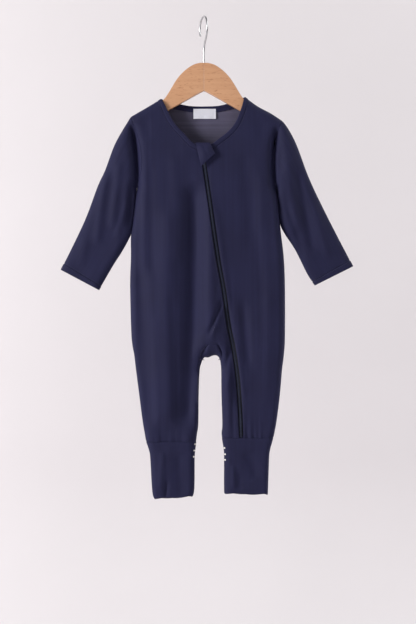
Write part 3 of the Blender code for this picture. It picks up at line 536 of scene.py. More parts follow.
CREASES = [
    # the front's upper part and its long falls
    (FRONT, -48, -215, -44, -400, 9, 0.9, 3),
    (FRONT, -84, -230, -82, -420, 7, -0.8, -2),
    (FRONT, 62, -215, 74, -380, 12, -1.0, 4),
    (FRONT, 92, -240, 104, -470, 9, 1.0, -4),
    (FRONT, 88, -330, 98, -640, 10, -0.8, 3),
    (FRONT, 20, -300, 47, -500, 3.6, 0.9, -1.5),
    (FRONT, 46, -500, 64, -620, 4, 0.7, 2),
    (FRONT, -12, -560, -15, -640, 3.5, 1.6, 0),
    (FRONT, -52, -440, -44, -650, 6, -1.0, 2),
    (FRONT, -76, -470, -72, -660, 5, 0.8, -2),
    (FRONT, -8, -560, -14, -668, 5, 1.0, 0),
    (FRONT, 36, -560, 38, -664, 5, 1.2, 1),
    (FRONT, 44, -590, 46, -668, 3.5, -0.8, 0),
    # short creases round the fork
    (FRONT, 31, -446, 2, -516, 3.2, -2.6, 2),
    (FRONT, 28, -462, 9, -516, 3, 1.5, 1),
    (FRONT, 10, -515, -6, -551, 1.9, -2.4, -1.5),
    (FRONT, 20, -515, 31, -551, 1.9, -2.4, 1.5),
    (FRONT, 31, -572, 46, -520, 4, -1.6, 1),
    (FRONT, 30, -610, 44, -560, 3.5, 1.0, 0),
    (FRONT, -6, -500, -16, -560, 6, 1.2, 0),
    # sleeves
    (FRONT, -156, -240, -172, -370, 7, 1.5, 0),
    (FRONT, -134, -225, -147, -345, 7, 1.7, 0),
    (FRONT, -186, -345, -200, -405, 8, 1.1, 0),
    (FRONT, -118, -285, -142, -360, 5, 1.0, 0),
    (FRONT, 134, -215, 150, -350, 8, 2.0, -3),
    (FRONT, 150, -240, 176, -380, 7, -1.6, -2),
    (FRONT, 172, -290, 200, -390, 7, 1.4, 0),
    (FRONT, 128, -290, 160, -390, 5, -1.0, 2),
    (FRONT, 124, -200, 120, -262, 5, -1.5, 0),
    (FRONT, -116, -166, -107, -292, 3.4, -3.4, 4),
    (FRONT, 118, -170, 116, -292, 3.4, -3.4, -6),
    # shoulders
    (FRONT, -96, -150, -90, -205, 8, -0.9, 2),
    (FRONT, 96, -156, 92, -210, 8, -0.9, -2),
    # the back, much the same
    (BACK, -4, -170, -8, -330, 14, -1.0, 3),
    (BACK, -76, -230, -70, -430, 10, 1.2, 3),
    (BACK, 10, -330, 6, -500, 9, 1.4, -3),
    (BACK, -20, -470, 4, -520, 5, -1.4, 1),
    (BACK, 38, -466, 22, -524, 5, -1.3, 1),
    (BACK, -96, -420, -84, -660, 8, -1.6, 2),
    (BACK, 104, -430, 92, -660, 8, -1.5, -2),
    (BACK, -30, -560, -34, -660, 6, 1.2, 0),
    (BACK, 60, -550, 62, -660, 6, 1.2, 0),
    (BACK, -146, -215, -156, -350, 8, 1.8, 3),
    (BACK, -164, -265, -178, -385, 7, -1.8, 2),
    (BACK, 146, -225, 168, -370, 9, 1.8, -3),
    (BACK, 166, -270, 190, -385, 7, -1.5, -2),
]
# cuffs: the same columns, at their own small size
CUFF_CREASES = [
    (FRONT, -66, -690, -70, -760, 5, 1.2, 1),
    (FRONT, -58, -735, -62, -775, 2.5, -1.6, 0),
    (FRONT, -40, -690, -36, -770, 10, -1.4, 0),
    (FRONT, 46, -712, 48, -758, 4, 1.3, 0),
    (FRONT, 66, -690, 84, -740, 8, -1.3, 2),
    (FRONT, 58, -720, 56, -760, 5, -0.8, 0),
    (BACK, -60, -690, -56, -765, 7, -1.2, 1),
    (BACK, 60, -690, 72, -755, 8, -1.2, 1),
    (BACK, 86, -700, 84, -760, 5, 1.0, 0),
    (BACK, -34, -700, -36, -765, 5, 1.0, 0),
]

FOLD_STRENGTH = 1.7
FOLD_FADE, CREASE_FADE, CUFF_FADE = 40, 22, 14  # how soon each kind begins, in millimetres


def ease(share):
    """A smooth step from 0 to 1."""
    share = np.clip(share, 0, 1)
    return share * share * (3 - 2 * share)


def fold_height(points, side, table, fade):
    """Sum of the table's troughs and ridges on one side of the suit."""
    height = np.zeros(len(points))
    for fold_side, x_top, z_top, x_low, z_low, width, rise, bow in table:
        if fold_side != side:
            continue
        start, run = np.array((x_top, z_top)), np.array((x_low - x_top, z_low - z_top))
        length = np.linalg.norm(run)
        offset = points - start
        down = offset @ run / length
        across = (run[0] * offset[:, 1] - run[1] * offset[:, 0]) / length
        across = across - bow * np.sin(np.pi * np.clip(down / length, 0, 1))
        ends = ease(down / fade) * ease((length - down) / fade)
        height += FOLD_STRENGTH * rise * ends * np.exp(-((across / width) ** 2))
    return height


def waves(points, side, across, down, size):
    """Soft noise, longer down the cloth than across it."""
    return size * np.array([noise.noise((x / across, z / down, side * 7.3)) for x, z in points])


def gathers(points, side, seam_z, reach, size):
    """Short upright ripples that die away above a gathered seam."""
    near = np.exp(-np.abs(points[:, 1] - seam_z) / reach)
    ripple = np.array([noise.noise((x / 5.5, z / 60, side * 3.1)) for x, z in points])
    return size * near * ripple


def folds_and_creases(points, side):
    return fold_height(points, side, FOLDS, FOLD_FADE) + fold_height(points, side, CREASES, CREASE_FADE)


print(len(FOLDS), "long folds and", len(CREASES), "creases")

# %% Points of a skin
SEAM_SHUT = 0.04  # half of the gap left at a sewn edge
FLAT_SIDE = 0.45  # the wearer's left side lies flatter, with this much less turn at its edge
LEG_SPLIT_X = CROTCH[3][0]


def body_form(points):
    flatter = 1 - FLAT_SIDE * ease((points[:, 0] - 45) / 30) * ease((-240 - points[:, 1]) / 60)
    return read(BODY_FORM, points[:, 1], 1), read(BODY_FORM, points[:, 1], 2) * flatter


def skin(points, side, chains, form, lift=0.0, relief=0.0, seam=SEAM_SHUT):
    """Points of a skin in millimetres. relief is added height; lift moves out along the rounding."""
    depth, turn = form
    distance, way_in = nearest_edge(points, chains)
    angle = np.arccos(np.clip(1 - distance / turn, 0, 1))
    rise = np.sin(angle)
    outward = np.stack([-way_in[:, 0] * depth * np.cos(angle), turn * rise,
                        -way_in[:, 1] * depth * np.cos(angle)], axis=1)
    outward /= np.linalg.norm(outward, axis=1)[:, None]
    outward *= np.asarray(lift, float).reshape(-1, 1)
    y = np.maximum((depth + relief) * rise + outward[:, 1], seam)
    return np.stack([points[:, 0] + outward[:, 0], side * y, points[:, 1] + outward[:, 2]], axis=1)


def two_faces(points, side, outer_lift, inner_lift, relief=0.0, seam=SEAM_SHUT, chains=BODY_EDGES, form=None):
    """The outer and the inner points of a layer of cloth that follows a skin."""
    form = body_form(points) if form is None else form
    return [skin(points, side, chains, form, lift, relief, seam) for lift in (outer_lift, inner_lift)]


def body_relief(points, side):
    leg_seam = np.where(points[:, 0] < LEG_SPLIT_X, RIGHT_SEAM_Z, LEFT_SEAM_Z)
    return (folds_and_creases(points, side) + waves(points, side, 46, 150, 1.1)
            + waves(points, side, 15, 48, 0.3) + gathers(points, side, leg_seam, 15, 2.6))


print("skin functions ready")

# %% [markdown]
# ## Cloth walls
# Cloth has two faces and a turned edge, so each piece is a thin wall: an outer grid, an inner grid
# and a rim. The outer edge drops a little at every seam, which makes the groove that a seam shows.


# %% Wall builder
def select_only(pieces):
    """Selects these and nothing else; the first is the active one."""
    bpy.ops.object.select_all(action="DESELECT")
    for piece in pieces:
        piece.select_set(True)
    bpy.context.view_layer.objects.active = pieces[0]


def edit_all():
    """Goes into edit mode with everything selected."""
    bpy.ops.object.mode_set(mode="EDIT")
    bpy.ops.mesh.select_all(action="SELECT")


def link(name, mesh, materials):
    made = bpy.data.objects.new(name, mesh)
    bpy.context.scene.collection.objects.link(made)
    for item in materials:
        mesh.materials.append(item)
    mesh.shade_smooth()
    mesh.set_sharp_from_angle(angle=math.radians(60))
    return made


def rim_of(cells):
    """Edges that only one cell has, in that cell's own order."""
    sides = {}
    for cell in cells:
        for start, end in zip(cell, (*cell[1:], cell[0])):
            sides.setdefault((min(start, end), max(start, end)), []).append((start, end))
    return [found[0] for found in sides.values() if len(found) == 1]


def rim_drop(count, cells, size):
    """How far each point drops: size at the piece's border, nothing elsewhere."""
    drop = np.zeros(count)
    drop[[index for pair in rim_of(cells) for index in pair]] = size
    return drop


def wall(name, outer, inner, cells, grain, materials):
    """outer, inner: points by index in millimetres. cells: quads of indices. grain: metres by index."""
    count = len(outer)
    faces = list(cells)
    faces += [tuple(index + count for index in reversed(cell)) for cell in cells]
    faces += [(end, start, start + count, end + count) for start, end in rim_of(cells)]
    mesh = bpy.data.meshes.new(name)
    mesh.from_pydata(np.vstack([outer, inner]) * MM, [], faces)
    map_layer = mesh.uv_layers.new(name="Grain")
    corners = np.empty(len(mesh.loops), int)
    mesh.loops.foreach_get("vertex_index", corners)
    map_layer.data.foreach_set("uv", np.vstack([grain, grain])[corners].ravel())
    slots = np.zeros(len(faces), int)
    if len(materials) > 1:
        slots[len(cells):2 * len(cells)] = 1
    mesh.polygons.foreach_set("material_index", slots)
    made = link(name, mesh, materials)
    make_outward(made)
    return made


def make_outward(piece):
    """Turns every face of a closed piece outwards."""
    select_only([piece])
    edit_all()
    bpy.ops.mesh.delete_loose()
    bpy.ops.mesh.select_all(action="SELECT")
    bpy.ops.mesh.normals_make_consistent(inside=False)
    bpy.ops.object.mode_set(mode="OBJECT")
    piece.select_set(False)


def grid_cells(rows, columns, ring=False):
    """Quads of a grid stored row by row; a ring closes on itself across."""
    last = columns if ring else columns - 1
    return [(i * columns + j, (i + 1) * columns + j, (i + 1) * columns + (j + 1) % columns,
             i * columns + (j + 1) % columns) for i in range(rows - 1) for j in range(last)]


def rounded(turn, flat_steps, bend_steps=9):
    """Shares from 0 to 1, close together over the first turn of the way, then even."""
    bend = turn * (1 - np.cos(np.linspace(0, math.pi / 2, bend_steps + 1)))
    return np.concatenate([bend, np.linspace(turn, 1, flat_steps + 1)[1:]])


def rounded_both(turn, flat_steps, bend_steps=9):
    """The same, but close together at both ends."""
    bend = turn * (1 - np.cos(np.linspace(0, math.pi / 2, bend_steps + 1)))
    return np.concatenate([bend, np.linspace(turn, 1 - turn, flat_steps + 1)[1:-1], 1 - bend[::-1]])


def coons(top, bottom, left, right, down):
    """Rows of points that fill four edges."""
    reach = reach_of(bottom)
    over = (reach / reach[-1])[:, None]
    rows = []
    for share, west, east in zip(down, left, right):
        corners = ((1 - share) * ((1 - over) * top[0] + over * top[-1])
                   + share * ((1 - over) * bottom[0] + over * bottom[-1]))
        rows.append((1 - share) * top + share * bottom + (1 - over) * west + over * east - corners)
    return rows


def carry(piece, slot=None, *nodes):
    """Rides a piece on the garment and hides the imported nodes that it stands for. Its slot argument, the
    finish, is not used.
    """
    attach(piece, GARMENT)
    if nodes:
        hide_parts(*nodes)


def declare(piece, slot, nodes):
    """Carries a sheet of cloth and prints the size that it was cut to, with its faces and its area of cloth.
    """
    carry(piece, slot, *nodes)
    corners = np.array([corner.co for corner in piece.data.vertices])
    size = (corners.max(axis=0) - corners.min(axis=0)) * 1000
    skin_area = sum(face.area for face in piece.data.polygons) / 2
    print(f"{piece.name}: {len(piece.data.polygons)} faces, {size.round(1)} mm, cloth {skin_area:.4f} m2")


print("wall builder ready")

# %% [markdown]
# ## The neck opening
# A doubled strip binds the neck. Its inner edge is the opening, and the panels start where it ends.
# Each stretch of the opening is a smooth line with a way out at each point, turned at its ends to
# run along the shoulder seam or the zip.


# %% Neck lines
def unit(run):
    run = np.array(run, float)
    return run / np.linalg.norm(run)


def neck_line(points, shares, start_way, end_way):
    """Points of the opening's edge and the unit way out from each."""
    line = smooth(points)
    edge = along(line, shares)
    run = along(line, np.clip(shares + 0.01, 0, 1)) - along(line, np.clip(shares - 0.01, 0, 1))
    away = np.stack([run[:, 1], -run[:, 0]], axis=1)
    away /= np.linalg.norm(away, axis=1)[:, None]
    for way, near in ((start_way, shares), (end_way, 1 - shares)):
        mix = np.clip(1 - near / 0.12, 0, 1)[:, None]
        away = away * (1 - mix) + way * mix
        away /= np.linalg.norm(away, axis=1)[:, None]
    return edge, away


RIGHT_WAY = unit(np.subtract(SHOULDER_RIGHT[1], SHOULDER_RIGHT[0]))
LEFT_WAY = unit(np.subtract(SHOULDER_LEFT[1], SHOULDER_LEFT[0]))
ZIP_WAY = unit((ZIP[10, 1] - ZIP[0, 1], ZIP[10, 0] - ZIP[0, 0]))
NECK_TURN, NECK_BENDS = 0.1, 6  # share of a neck line that bends over the shoulder, and its steps


def neck_right(flat_steps):
    return neck_line(NECK_RIGHT, rounded(NECK_TURN, flat_steps, NECK_BENDS), RIGHT_WAY, ZIP_WAY)


def neck_left(flat_steps):
    shares = 1 - rounded(NECK_TURN, flat_steps, NECK_BENDS)[::-1]
    return neck_line(NECK_LEFT, shares, ZIP_WAY, LEFT_WAY)


def neck_back(flat_steps):
    shares = rounded_both(NECK_TURN, flat_steps, NECK_BENDS)
    return neck_line(NECK_BACK, shares, RIGHT_WAY, LEFT_WAY)


def panel_neck(line):
    edge, away = line
    return edge + away * BAND


print("neck opening", round(float(np.ptp(smooth(NECK_BACK)[:, 0]))), "mm across the back")

# %% [markdown]
# ## Front and back panels
# Each panel is a grid: a yoke patch between the shoulder, neck, armhole and chest, then rows down
# to the leg seam. Lines crowd together where the cloth turns at the sides, so the turn stays round.

# %% Grids of the panels
YOKE_DOWN = rounded_both(0.1, 26, 8)
FORK_TOP_LEVEL = (CHEST_Z - FORK_TOP_Z) / (CHEST_Z - CROTCH_Z)
LEVELS = np.concatenate([np.linspace(0, FORK_TOP_LEVEL, 62), np.linspace(FORK_TOP_LEVEL, 1, 8)[1:],
                         np.linspace(1, 1.985, 32)[1:], [2]])[1:]
SEAM_DROP = 0.45  # the cloth dips this much into a seam
LEG_SHARES, FORK_SHARES = rounded(0.2, 20), np.linspace(0, 1, 7)
NOTCH = (len(LEG_SHARES) - 1, len(LEG_SHARES) + len(FORK_SHARES) - 2)  # columns that the gusset fills


def level_z(level, seam_z):
    """0 at the chest, 1 at the crotch, 2 at the leg's own seam."""
    if level < 1:
        return CHEST_Z + (CROTCH_Z - CHEST_Z) * level
    return CROTCH_Z + (seam_z - CROTCH_Z) * (level - 1)


def side_line(column):
    return lambda z: float(read(SIDES, z, column))


def zip_line(sign):
    return lambda z: float(read(ZIP, z, 1)) + sign * ZIP_HALF_GAP


def fork_line(column, side):
    """x of one of the gusset's seams, carried up to the chest and down the inside of the leg."""
    def x_at(z):
        if z > FORK_TOP_Z:
            share = (CHEST_Z - z) / (CHEST_Z - FORK_TOP_Z)
            chest = FORK_AT_CHEST[side][column - 1]
            return chest + (FORK[0, column] - chest) * share
        return float(read(FORK if z > CROTCH_Z else INSEAMS, z, column))
    return x_at


def body_row(level, strips):
    """One row of points. A strip is its two lines, its shares and the height of its leg's seam."""
    row = []
    for first, (low, high, shares, seam_z) in enumerate(strips):
        z = level_z(level, seam_z)
        points = [(low(z) + (high(z) - low(z)) * share, z) for share in shares]
        row += points if first == 0 else points[1:]
    return np.array(row)


def zip_side(top, sign):
    """The panel's edge beside the zip, from the neck to the chest."""
    heights = top[1] + (CHEST_Z - top[1]) * YOKE_DOWN
    shift = top[0] - zip_line(sign)(top[1])
    return np.array([(zip_line(sign)(z) + shift * (1 - share), z) for z, share in zip(heights, YOKE_DOWN)])


print(len(YOKE_DOWN), "yoke rows and", len(LEVELS), "body rows")


# %% Panel maker
def panel(name, side, top, left, right, strips, notch):
    """notch is the first and last column of the gusset's opening, or None."""
    rows = coons(top, body_row(0, strips), left, right, YOKE_DOWN)
    rows += [body_row(level, strips) for level in LEVELS]
    columns = len(rows[0])
    points = np.vstack(rows)
    cells = grid_cells(len(rows), columns)
    if notch:
        heights = np.array([row[notch[0], 1] for row in rows])
        first = int(np.argmin(np.abs(heights - FORK_TOP_Z)))
        cells = [cell for cell in cells
                 if not (cell[0] // columns >= first and notch[0] <= cell[0] % columns < notch[1])]
    relief = body_relief(points, side)
    drop = rim_drop(len(points), cells, SEAM_DROP)
    outer, inner = two_faces(points, side, -drop, -JERSEY, relief)
    return wall(name, outer, inner, cells, points * MM, [FACE, REVERSE])


SHOULDER_STEPS, SHOULDER_CROWD = 14, 1.4


def neck_steps(strips, shoulders):
    """Steps left for the even part of the neck, so that the yoke has as many columns as the body."""
    return sum(len(strip[2]) - 1 for strip in strips) - shoulders * (SHOULDER_STEPS + NECK_BENDS)


def shoulder(points, reverse=False):
    """Points along a shoulder seam, closer together towards the armhole."""
    shares = np.linspace(0, 1, SHOULDER_STEPS + 1)**SHOULDER_CROWD
    return along(points, 1 - shares[::-1] if reverse else shares)


armhole_right = along(smooth(ARMHOLE_RIGHT), YOKE_DOWN)
armhole_left = along(smooth(ARMHOLE_LEFT), YOKE_DOWN)
print("armhole", round(float(steps_of(armhole_right).sum())), "mm deep")

# %% Front panel, wearer's right
right_strips = [
    (side_line(1), fork_line(1, FRONT), LEG_SHARES, RIGHT_SEAM_Z),
    (fork_line(1, FRONT), fork_line(2, FRONT), FORK_SHARES, LEFT_SEAM_Z),
    (fork_line(2, FRONT), zip_line(-1), np.linspace(0, 1, 13), LEFT_SEAM_Z),
]
neck = panel_neck(neck_right(neck_steps(right_strips, 1)))
top = np.vstack([shoulder([SHOULDER_RIGHT[-1], neck[0]]), neck[1:]])
front_right = panel("right_front_panel", FRONT, top, armhole_right, zip_side(neck[-1], -1), right_strips,
                    NOTCH)
declare(front_right, "jersey", ["front_right"])

# %% Front panel, wearer's left
left_strips = [(zip_line(1), side_line(2), 1 - rounded(0.18, 28)[::-1], LEFT_SEAM_Z)]
neck = panel_neck(neck_left(neck_steps(left_strips, 1)))
top = np.vstack([neck[:-1], shoulder([neck[-1], *SHOULDER_LEFT[1:]], reverse=True)])
front_left = panel("left_front_panel", FRONT, top, zip_side(neck[0], 1), armhole_left, left_strips, None)
declare(front_left, "jersey", ["front_left"])

# %% Back panel
back_strips = [
    (side_line(1), fork_line(1, BACK), LEG_SHARES, RIGHT_SEAM_Z),
    (fork_line(1, BACK), fork_line(2, BACK), FORK_SHARES, LEFT_SEAM_Z),
    (fork_line(2, BACK), side_line(2), 1 - LEG_SHARES[::-1], LEFT_SEAM_Z),
]
neck = panel_neck(neck_back(neck_steps(back_strips, 2)))
top = np.vstack([shoulder([SHOULDER_RIGHT[-1], neck[0]]), neck[1:-1],
                 shoulder([neck[-1], *SHOULDER_LEFT[1:]], reverse=True)])
back = panel("back_panel", BACK, top, armhole_right, armhole_left, back_strips, NOTCH)
declare(back, "jersey", ["back"])

# %% [markdown]
# ## The crotch gusset
# A small arch of cloth joins front and back at the fork. It is one strip that runs down from the
# front, turns under at the crotch line and runs up the back, so it is built as a saddle.

# %% Gusset
GUSSET_ACROSS = np.linspace(0, 1, 17)
GUSSET_DOWN = np.concatenate([[0, 0.03], np.sin(np.linspace(0.09, math.pi / 2, 15))])
GUSSET_INSET, GUSSET_ROW = 0.4, 1.7  # clear of its seams by this much; spacing of its rows as cut


def gusset_row(down):
    z = FORK_TOP_Z - GAP + (CROTCH_Z + GUSSET_INSET - FORK_TOP_Z + GAP) * down
    low = np.array((read(FORK, z, 1) + GUSSET_INSET, z))
    high = np.array((read(FORK, z, 2) - GUSSET_INSET, z))
    straight = low + (high - low) * GUSSET_ACROSS[:, None]
    end_low, end_high = np.array(CROTCH[0], float), np.array(CROTCH[-1], float)
    arch = along(CROTCH_LINE, GUSSET_ACROSS) - (end_low + (end_high - end_low) * GUSSET_ACROSS[:, None])
    return straight + arch * down**1.5


front_rows = np.vstack([gusset_row(down) for down in GUSSET_DOWN])
back_rows = np.vstack([gusset_row(down) for down in GUSSET_DOWN[-2::-1]])
flat_points = np.vstack([front_rows, back_rows])
across_count = len(GUSSET_ACROSS)
cells = grid_cells(len(flat_points) // across_count, across_count)
drop = rim_drop(len(flat_points), cells, SEAM_DROP)
front_drop, back_drop = np.split(drop, [len(front_rows)])
outer_front, inner_front = two_faces(front_rows, FRONT, -front_drop, -JERSEY,
                                     body_relief(front_rows, FRONT), 0)
outer_back, inner_back = two_faces(back_rows, BACK, -back_drop, -JERSEY, body_relief(back_rows, BACK), 0)
run_down = np.repeat(np.arange(len(flat_points) // across_count) * GUSSET_ROW, across_count)
gusset_grain = np.stack([flat_points[:, 0], run_down], axis=1) * MM
gusset = wall("gusset", np.vstack([outer_front, outer_back]), np.vstack([inner_front, inner_back]), cells,
              gusset_grain, [FACE, REVERSE])
declare(gusset, "jersey", ["crotch_gusset"])

# %% [markdown]
# ## Sleeves
# A sleeve is a flattened tube from the armhole to an open hem. The hem is turned up eleven
# millimetres and coverstitched, so it stands a little proud with a groove where the stitches sit.

# %% A grid that doesn't fold at the underarm
EVEN_LINES, EVEN_ROUNDS = 25, 600


def between(lines, shares):
    """Lines at shares of the way through evenly spaced ones."""
    place = np.array(shares) * (len(lines) - 1)
    low = np.minimum(place.astype(int), len(lines) - 2)
    mix = (place - low)[:, None, None]
    return lines[low] * (1 - mix) + lines[low + 1] * mix


def even_grid(top, bottom, left, right, down, over):
    """Fills four edges that have a hollow corner: each point is drawn to the balance of its neighbours."""
    even = np.linspace(0, 1, EVEN_LINES)
    grid = np.array(coons(*[along(edge, even) for edge in (top, bottom, left, right)], even))
    for _ in range(EVEN_ROUNDS):
        by_row = (grid[2:, 1:-1] - grid[:-2, 1:-1]) / 2
        by_column = (grid[1:-1, 2:] - grid[1:-1, :-2]) / 2
        row_size = (by_row**2).sum(2, keepdims=True)
        column_size = (by_column**2).sum(2, keepdims=True)
        skew = (by_row * by_column).sum(2, keepdims=True)
        corners = grid[2:, 2:] - grid[2:, :-2] - grid[:-2, 2:] + grid[:-2, :-2]
        drawn = (row_size * (grid[1:-1, 2:] + grid[1:-1, :-2])
                 + column_size * (grid[2:, 1:-1] + grid[:-2, 1:-1]) - skew * corners / 2)
        grid[1:-1, 1:-1] = drawn / (2 * (row_size + column_size))
    return between(between(grid, down).swapaxes(0, 1), over).swapaxes(0, 1)


print("sleeve grid settles in", EVEN_ROUNDS, "rounds")

# %% Sleeve maker
ARMHOLE_GAP, SHOULDER_CORNER = 0.25, 0.0015  # gap at the seam; share down that the top corner starts at
HEM_WIDTH = 11.0
HEM_RISE, HEM_GROOVE = 0.45, 0.7  # height of the turned-up cloth, depth of the groove above it
SLEEVE_COLUMN = 4.0  # spacing of a sleeve's columns as cut
SLEEVE_DOWN = np.concatenate([[0, 0.004], np.linspace(0.012, 0.12, 14), np.linspace(0.135, 0.93, 50),
                              np.linspace(0.94, 0.975, 12), np.linspace(0.982, 0.996, 5), [0.9985, 1]])


def hem_profile(from_hem):
    """Added height near the hem: a raised band with a groove along its stitches."""
    band = ease((HEM_WIDTH + 0.6 - from_hem) / 1.2) * HEM_RISE
    groove = HEM_GROOVE * np.exp(-(((from_hem - HEM_WIDTH) / 0.9) ** 2))
    return band - groove


def sleeve_form(points, down):
    mix = ease(down / SLEEVE_BLEND)
    body_depth, body_turn = body_form(points)
    rows = np.array(SLEEVE_FORM, float)
    depth, turn = (np.interp(down, rows[:, 0], rows[:, column]) for column in (1, 2))
    return body_depth * (1 - mix) + depth * mix, body_turn * (1 - mix) + turn * mix


def sleeve_relief(points, side, down):
    """The body's relief at the armhole seam, the sleeve's own further down."""
    mix = ease(down / SLEEVE_BLEND)
    own = folds_and_creases(points, side) + waves(points, side, 22, 70, 0.9)
    return body_relief(points, side) * (1 - mix) + own * mix


def ring_grain(columns, spacing, heights):
    """The grain of a tube cut flat: even columns, and rows at their own heights."""
    return np.stack(np.meshgrid(np.arange(columns) * spacing, heights), axis=2).reshape(-1, 2) * MM


def sleeve(name, side_name, armhole, outer_edge, inner_edge, away):
    """away is the sign of x that leads off the body."""
    outer_edge, inner_edge = smooth(outer_edge), smooth(inner_edge)
    edges = SLEEVE_EDGES[side_name]
    top = armhole + np.array((away * ARMHOLE_GAP, 0))
    top[-1] = inner_edge[0]
    top[0] = along(outer_edge, [SHOULDER_CORNER])[0]
    outer_points = along(outer_edge, SLEEVE_DOWN)
    outer_points[0] = top[0]
    hem = along(np.array([outer_edge[-1], inner_edge[-1]]), YOKE_DOWN)
    rows = even_grid(top, hem, outer_edge, inner_edge, SLEEVE_DOWN, YOKE_DOWN)
    rows[0], rows[-1] = top, hem
    rows[:, 0], rows[:, -1] = outer_points, along(inner_edge, SLEEVE_DOWN)
    length = steps_of(outer_edge).sum()
    across, columns = rows.shape[1], 2 * (rows.shape[1] - 1)
    outer, inner = np.zeros((len(rows), columns, 3)), np.zeros((len(rows), columns, 3))
    for side, shown, order in ((FRONT, np.arange(across), np.arange(across)),
                               (BACK, np.arange(1, across - 1), columns - np.arange(1, across - 1))):
        for i, down in enumerate(SLEEVE_DOWN):
            points = rows[i][shown]
            hem_lift = float(hem_profile((1 - down) * length))
            drop = SEAM_DROP if i in (0, len(rows) - 1) else 0
            outer[i, order], inner[i, order] = two_faces(
                points, side, hem_lift - drop, -JERSEY - max(hem_lift, 0),
                sleeve_relief(points, side, down), 0, edges, sleeve_form(points, down))
    grain = ring_grain(columns, SLEEVE_COLUMN, SLEEVE_DOWN * length)
    cells = grid_cells(len(rows), columns, ring=True)
    return wall(name, outer.reshape(-1, 3), inner.reshape(-1, 3), cells, grain, [FACE, REVERSE])


sleeve_right = sleeve("right_sleeve", "right", armhole_right, OUTER_RIGHT, INNER_RIGHT, -1)
declare(sleeve_right, "jersey", ["sleeve_right"])
sleeve_left = sleeve("left_sleeve", "left", armhole_left, OUTER_LEFT, INNER_LEFT, 1)
declare(sleeve_left, "jersey", ["sleeve_left"])

# %% [markdown]
# ## Fold-over cuffs
# Each leg is gathered into a doubled cuff that can be folded over the foot. It is a straight tube
# with a soft folded edge below and an open mouth.

# %% Cuff maker
CUFF_ENDS = {"right": (-770, -766), "left": (-762.5, -761.5)}  # z of the lower edge at its two sides
CUFF_DOWN = np.concatenate([[0, 0.012], np.linspace(0.04, 0.95, 24), [0.97, 0.985, 0.994, 1]])
CUFF_FOLD = {-1: 1.0, -2: 0.45, -3: 0.15, -4: 0.03}  # how far the last rows draw in, to round the fold
CUFF_COLUMN, CUFF_LENGTH = 3.6, 88  # spacing of its columns as cut, and its length


def cuff(name, column, seam_z, ends):
    """column is 1 for the wearer's right leg and 2 for the left; ends run from low x to high x."""
    edges = (SIDES, INSEAMS) if column == 1 else (INSEAMS, SIDES)
    shares = rounded_both(0.16, 22)
    across, columns = len(shares), 2 * (len(shares) - 1)
    outer, inner = np.zeros((len(CUFF_DOWN), columns, 3)), np.zeros((len(CUFF_DOWN), columns, 3))
    for side, order in ((FRONT, np.arange(across)), (BACK, (columns - np.arange(across)) % columns)):
        for i, down in enumerate(CUFF_DOWN):
            hem_z = ends[0] + (ends[1] - ends[0]) * shares
            hem_z = hem_z + (0.9 * np.sin(shares * 9 + side) - side * 0.5) * ease(down)
            z = seam_z - GAP + (hem_z - seam_z + GAP) * down
            low, high = (read(table, z, column) for table in edges)
            points = np.stack([low + (high - low) * shares, z], axis=1)
            relief = (fold_height(points, side, CUFF_CREASES, CUFF_FADE) + waves(points, side, 16, 40, 0.7)
                      + gathers(points, side, seam_z, 7, 0.7))
            drop = CUFF_FOLD.get(i - len(CUFF_DOWN), SEAM_DROP if i == 0 else 0)
            outer[i, order], inner[i, order] = two_faces(
                points, side, -drop, -max(DOUBLED, drop + 0.6), relief, 0)
    grain = ring_grain(columns, CUFF_COLUMN, CUFF_DOWN * CUFF_LENGTH)
    cells = grid_cells(len(CUFF_DOWN), columns, ring=True)
    return wall(name, outer.reshape(-1, 3), inner.reshape(-1, 3), cells, grain, [FACE, REVERSE])


cuff_right = cuff("right_cuff", 1, RIGHT_SEAM_Z, CUFF_ENDS["right"])
declare(cuff_right, "jersey", ["cuff_right"])
cuff_left = cuff("left_cuff", 2, LEFT_SEAM_Z, CUFF_ENDS["left"][::-1])
declare(cuff_left, "jersey", ["cuff_left"])

# %% [markdown]
# ## Neck binding, label and zip guard
# The binding is a strip folded over the neck edge. It is a little thicker than the panels, round at
# the opening, and its seam leaves a groove. The label hangs inside from the binding at the back.

# %% Neck binding
BINDING_LIFT = 0.5  # how much prouder than the panels it stands
BINDING_ACROSS = np.array([0, 0.04, 0.12, 0.28, 0.5, 0.72, 0.88, 0.96, 1])
BINDING_DROP = np.array([0.9, 0.4, 0.1, 0, -0.05, 0, 0.1, 0.35, 0.8])  # rounds both edges of the strip

right_edge, right_away = (part[:0:-1] for part in neck_right(60))  # from the zip up to the shoulder
left_edge, left_away = (part[-2::-1] for part in neck_left(60))  # from the other shoulder down
back_edge, back_away = neck_back(80)
stations = [(right_edge, right_away, FRONT), (back_edge, back_away, BACK), (left_edge, left_away, FRONT)]
outer_rows, inner_rows = [], []
for edge, away, side in stations:
    for share, drop in zip(BINDING_ACROSS, BINDING_DROP):
        points = edge + away * (BAND - GAP) * share
        on_shoulder = nearest_edge(points, BODY_EDGES)[0] < 0.05
        seam = np.where(on_shoulder, 0, GAP / 2)
        outer, inner = two_faces(points, side, BINDING_LIFT - drop, BINDING_LIFT - DOUBLED + min(drop, 0.5),
                                 body_relief(points, side), seam)
        outer_rows.append(outer)
        inner_rows.append(inner)
across_count = len(BINDING_ACROSS)


def stacked(rows):
    """Joins the three stretches end to end, one grid row a station."""
    stretches = [np.stack(rows[i:i + across_count], axis=1) for i in range(0, len(rows), across_count)]
    return np.vstack(stretches).reshape(-1, 3)


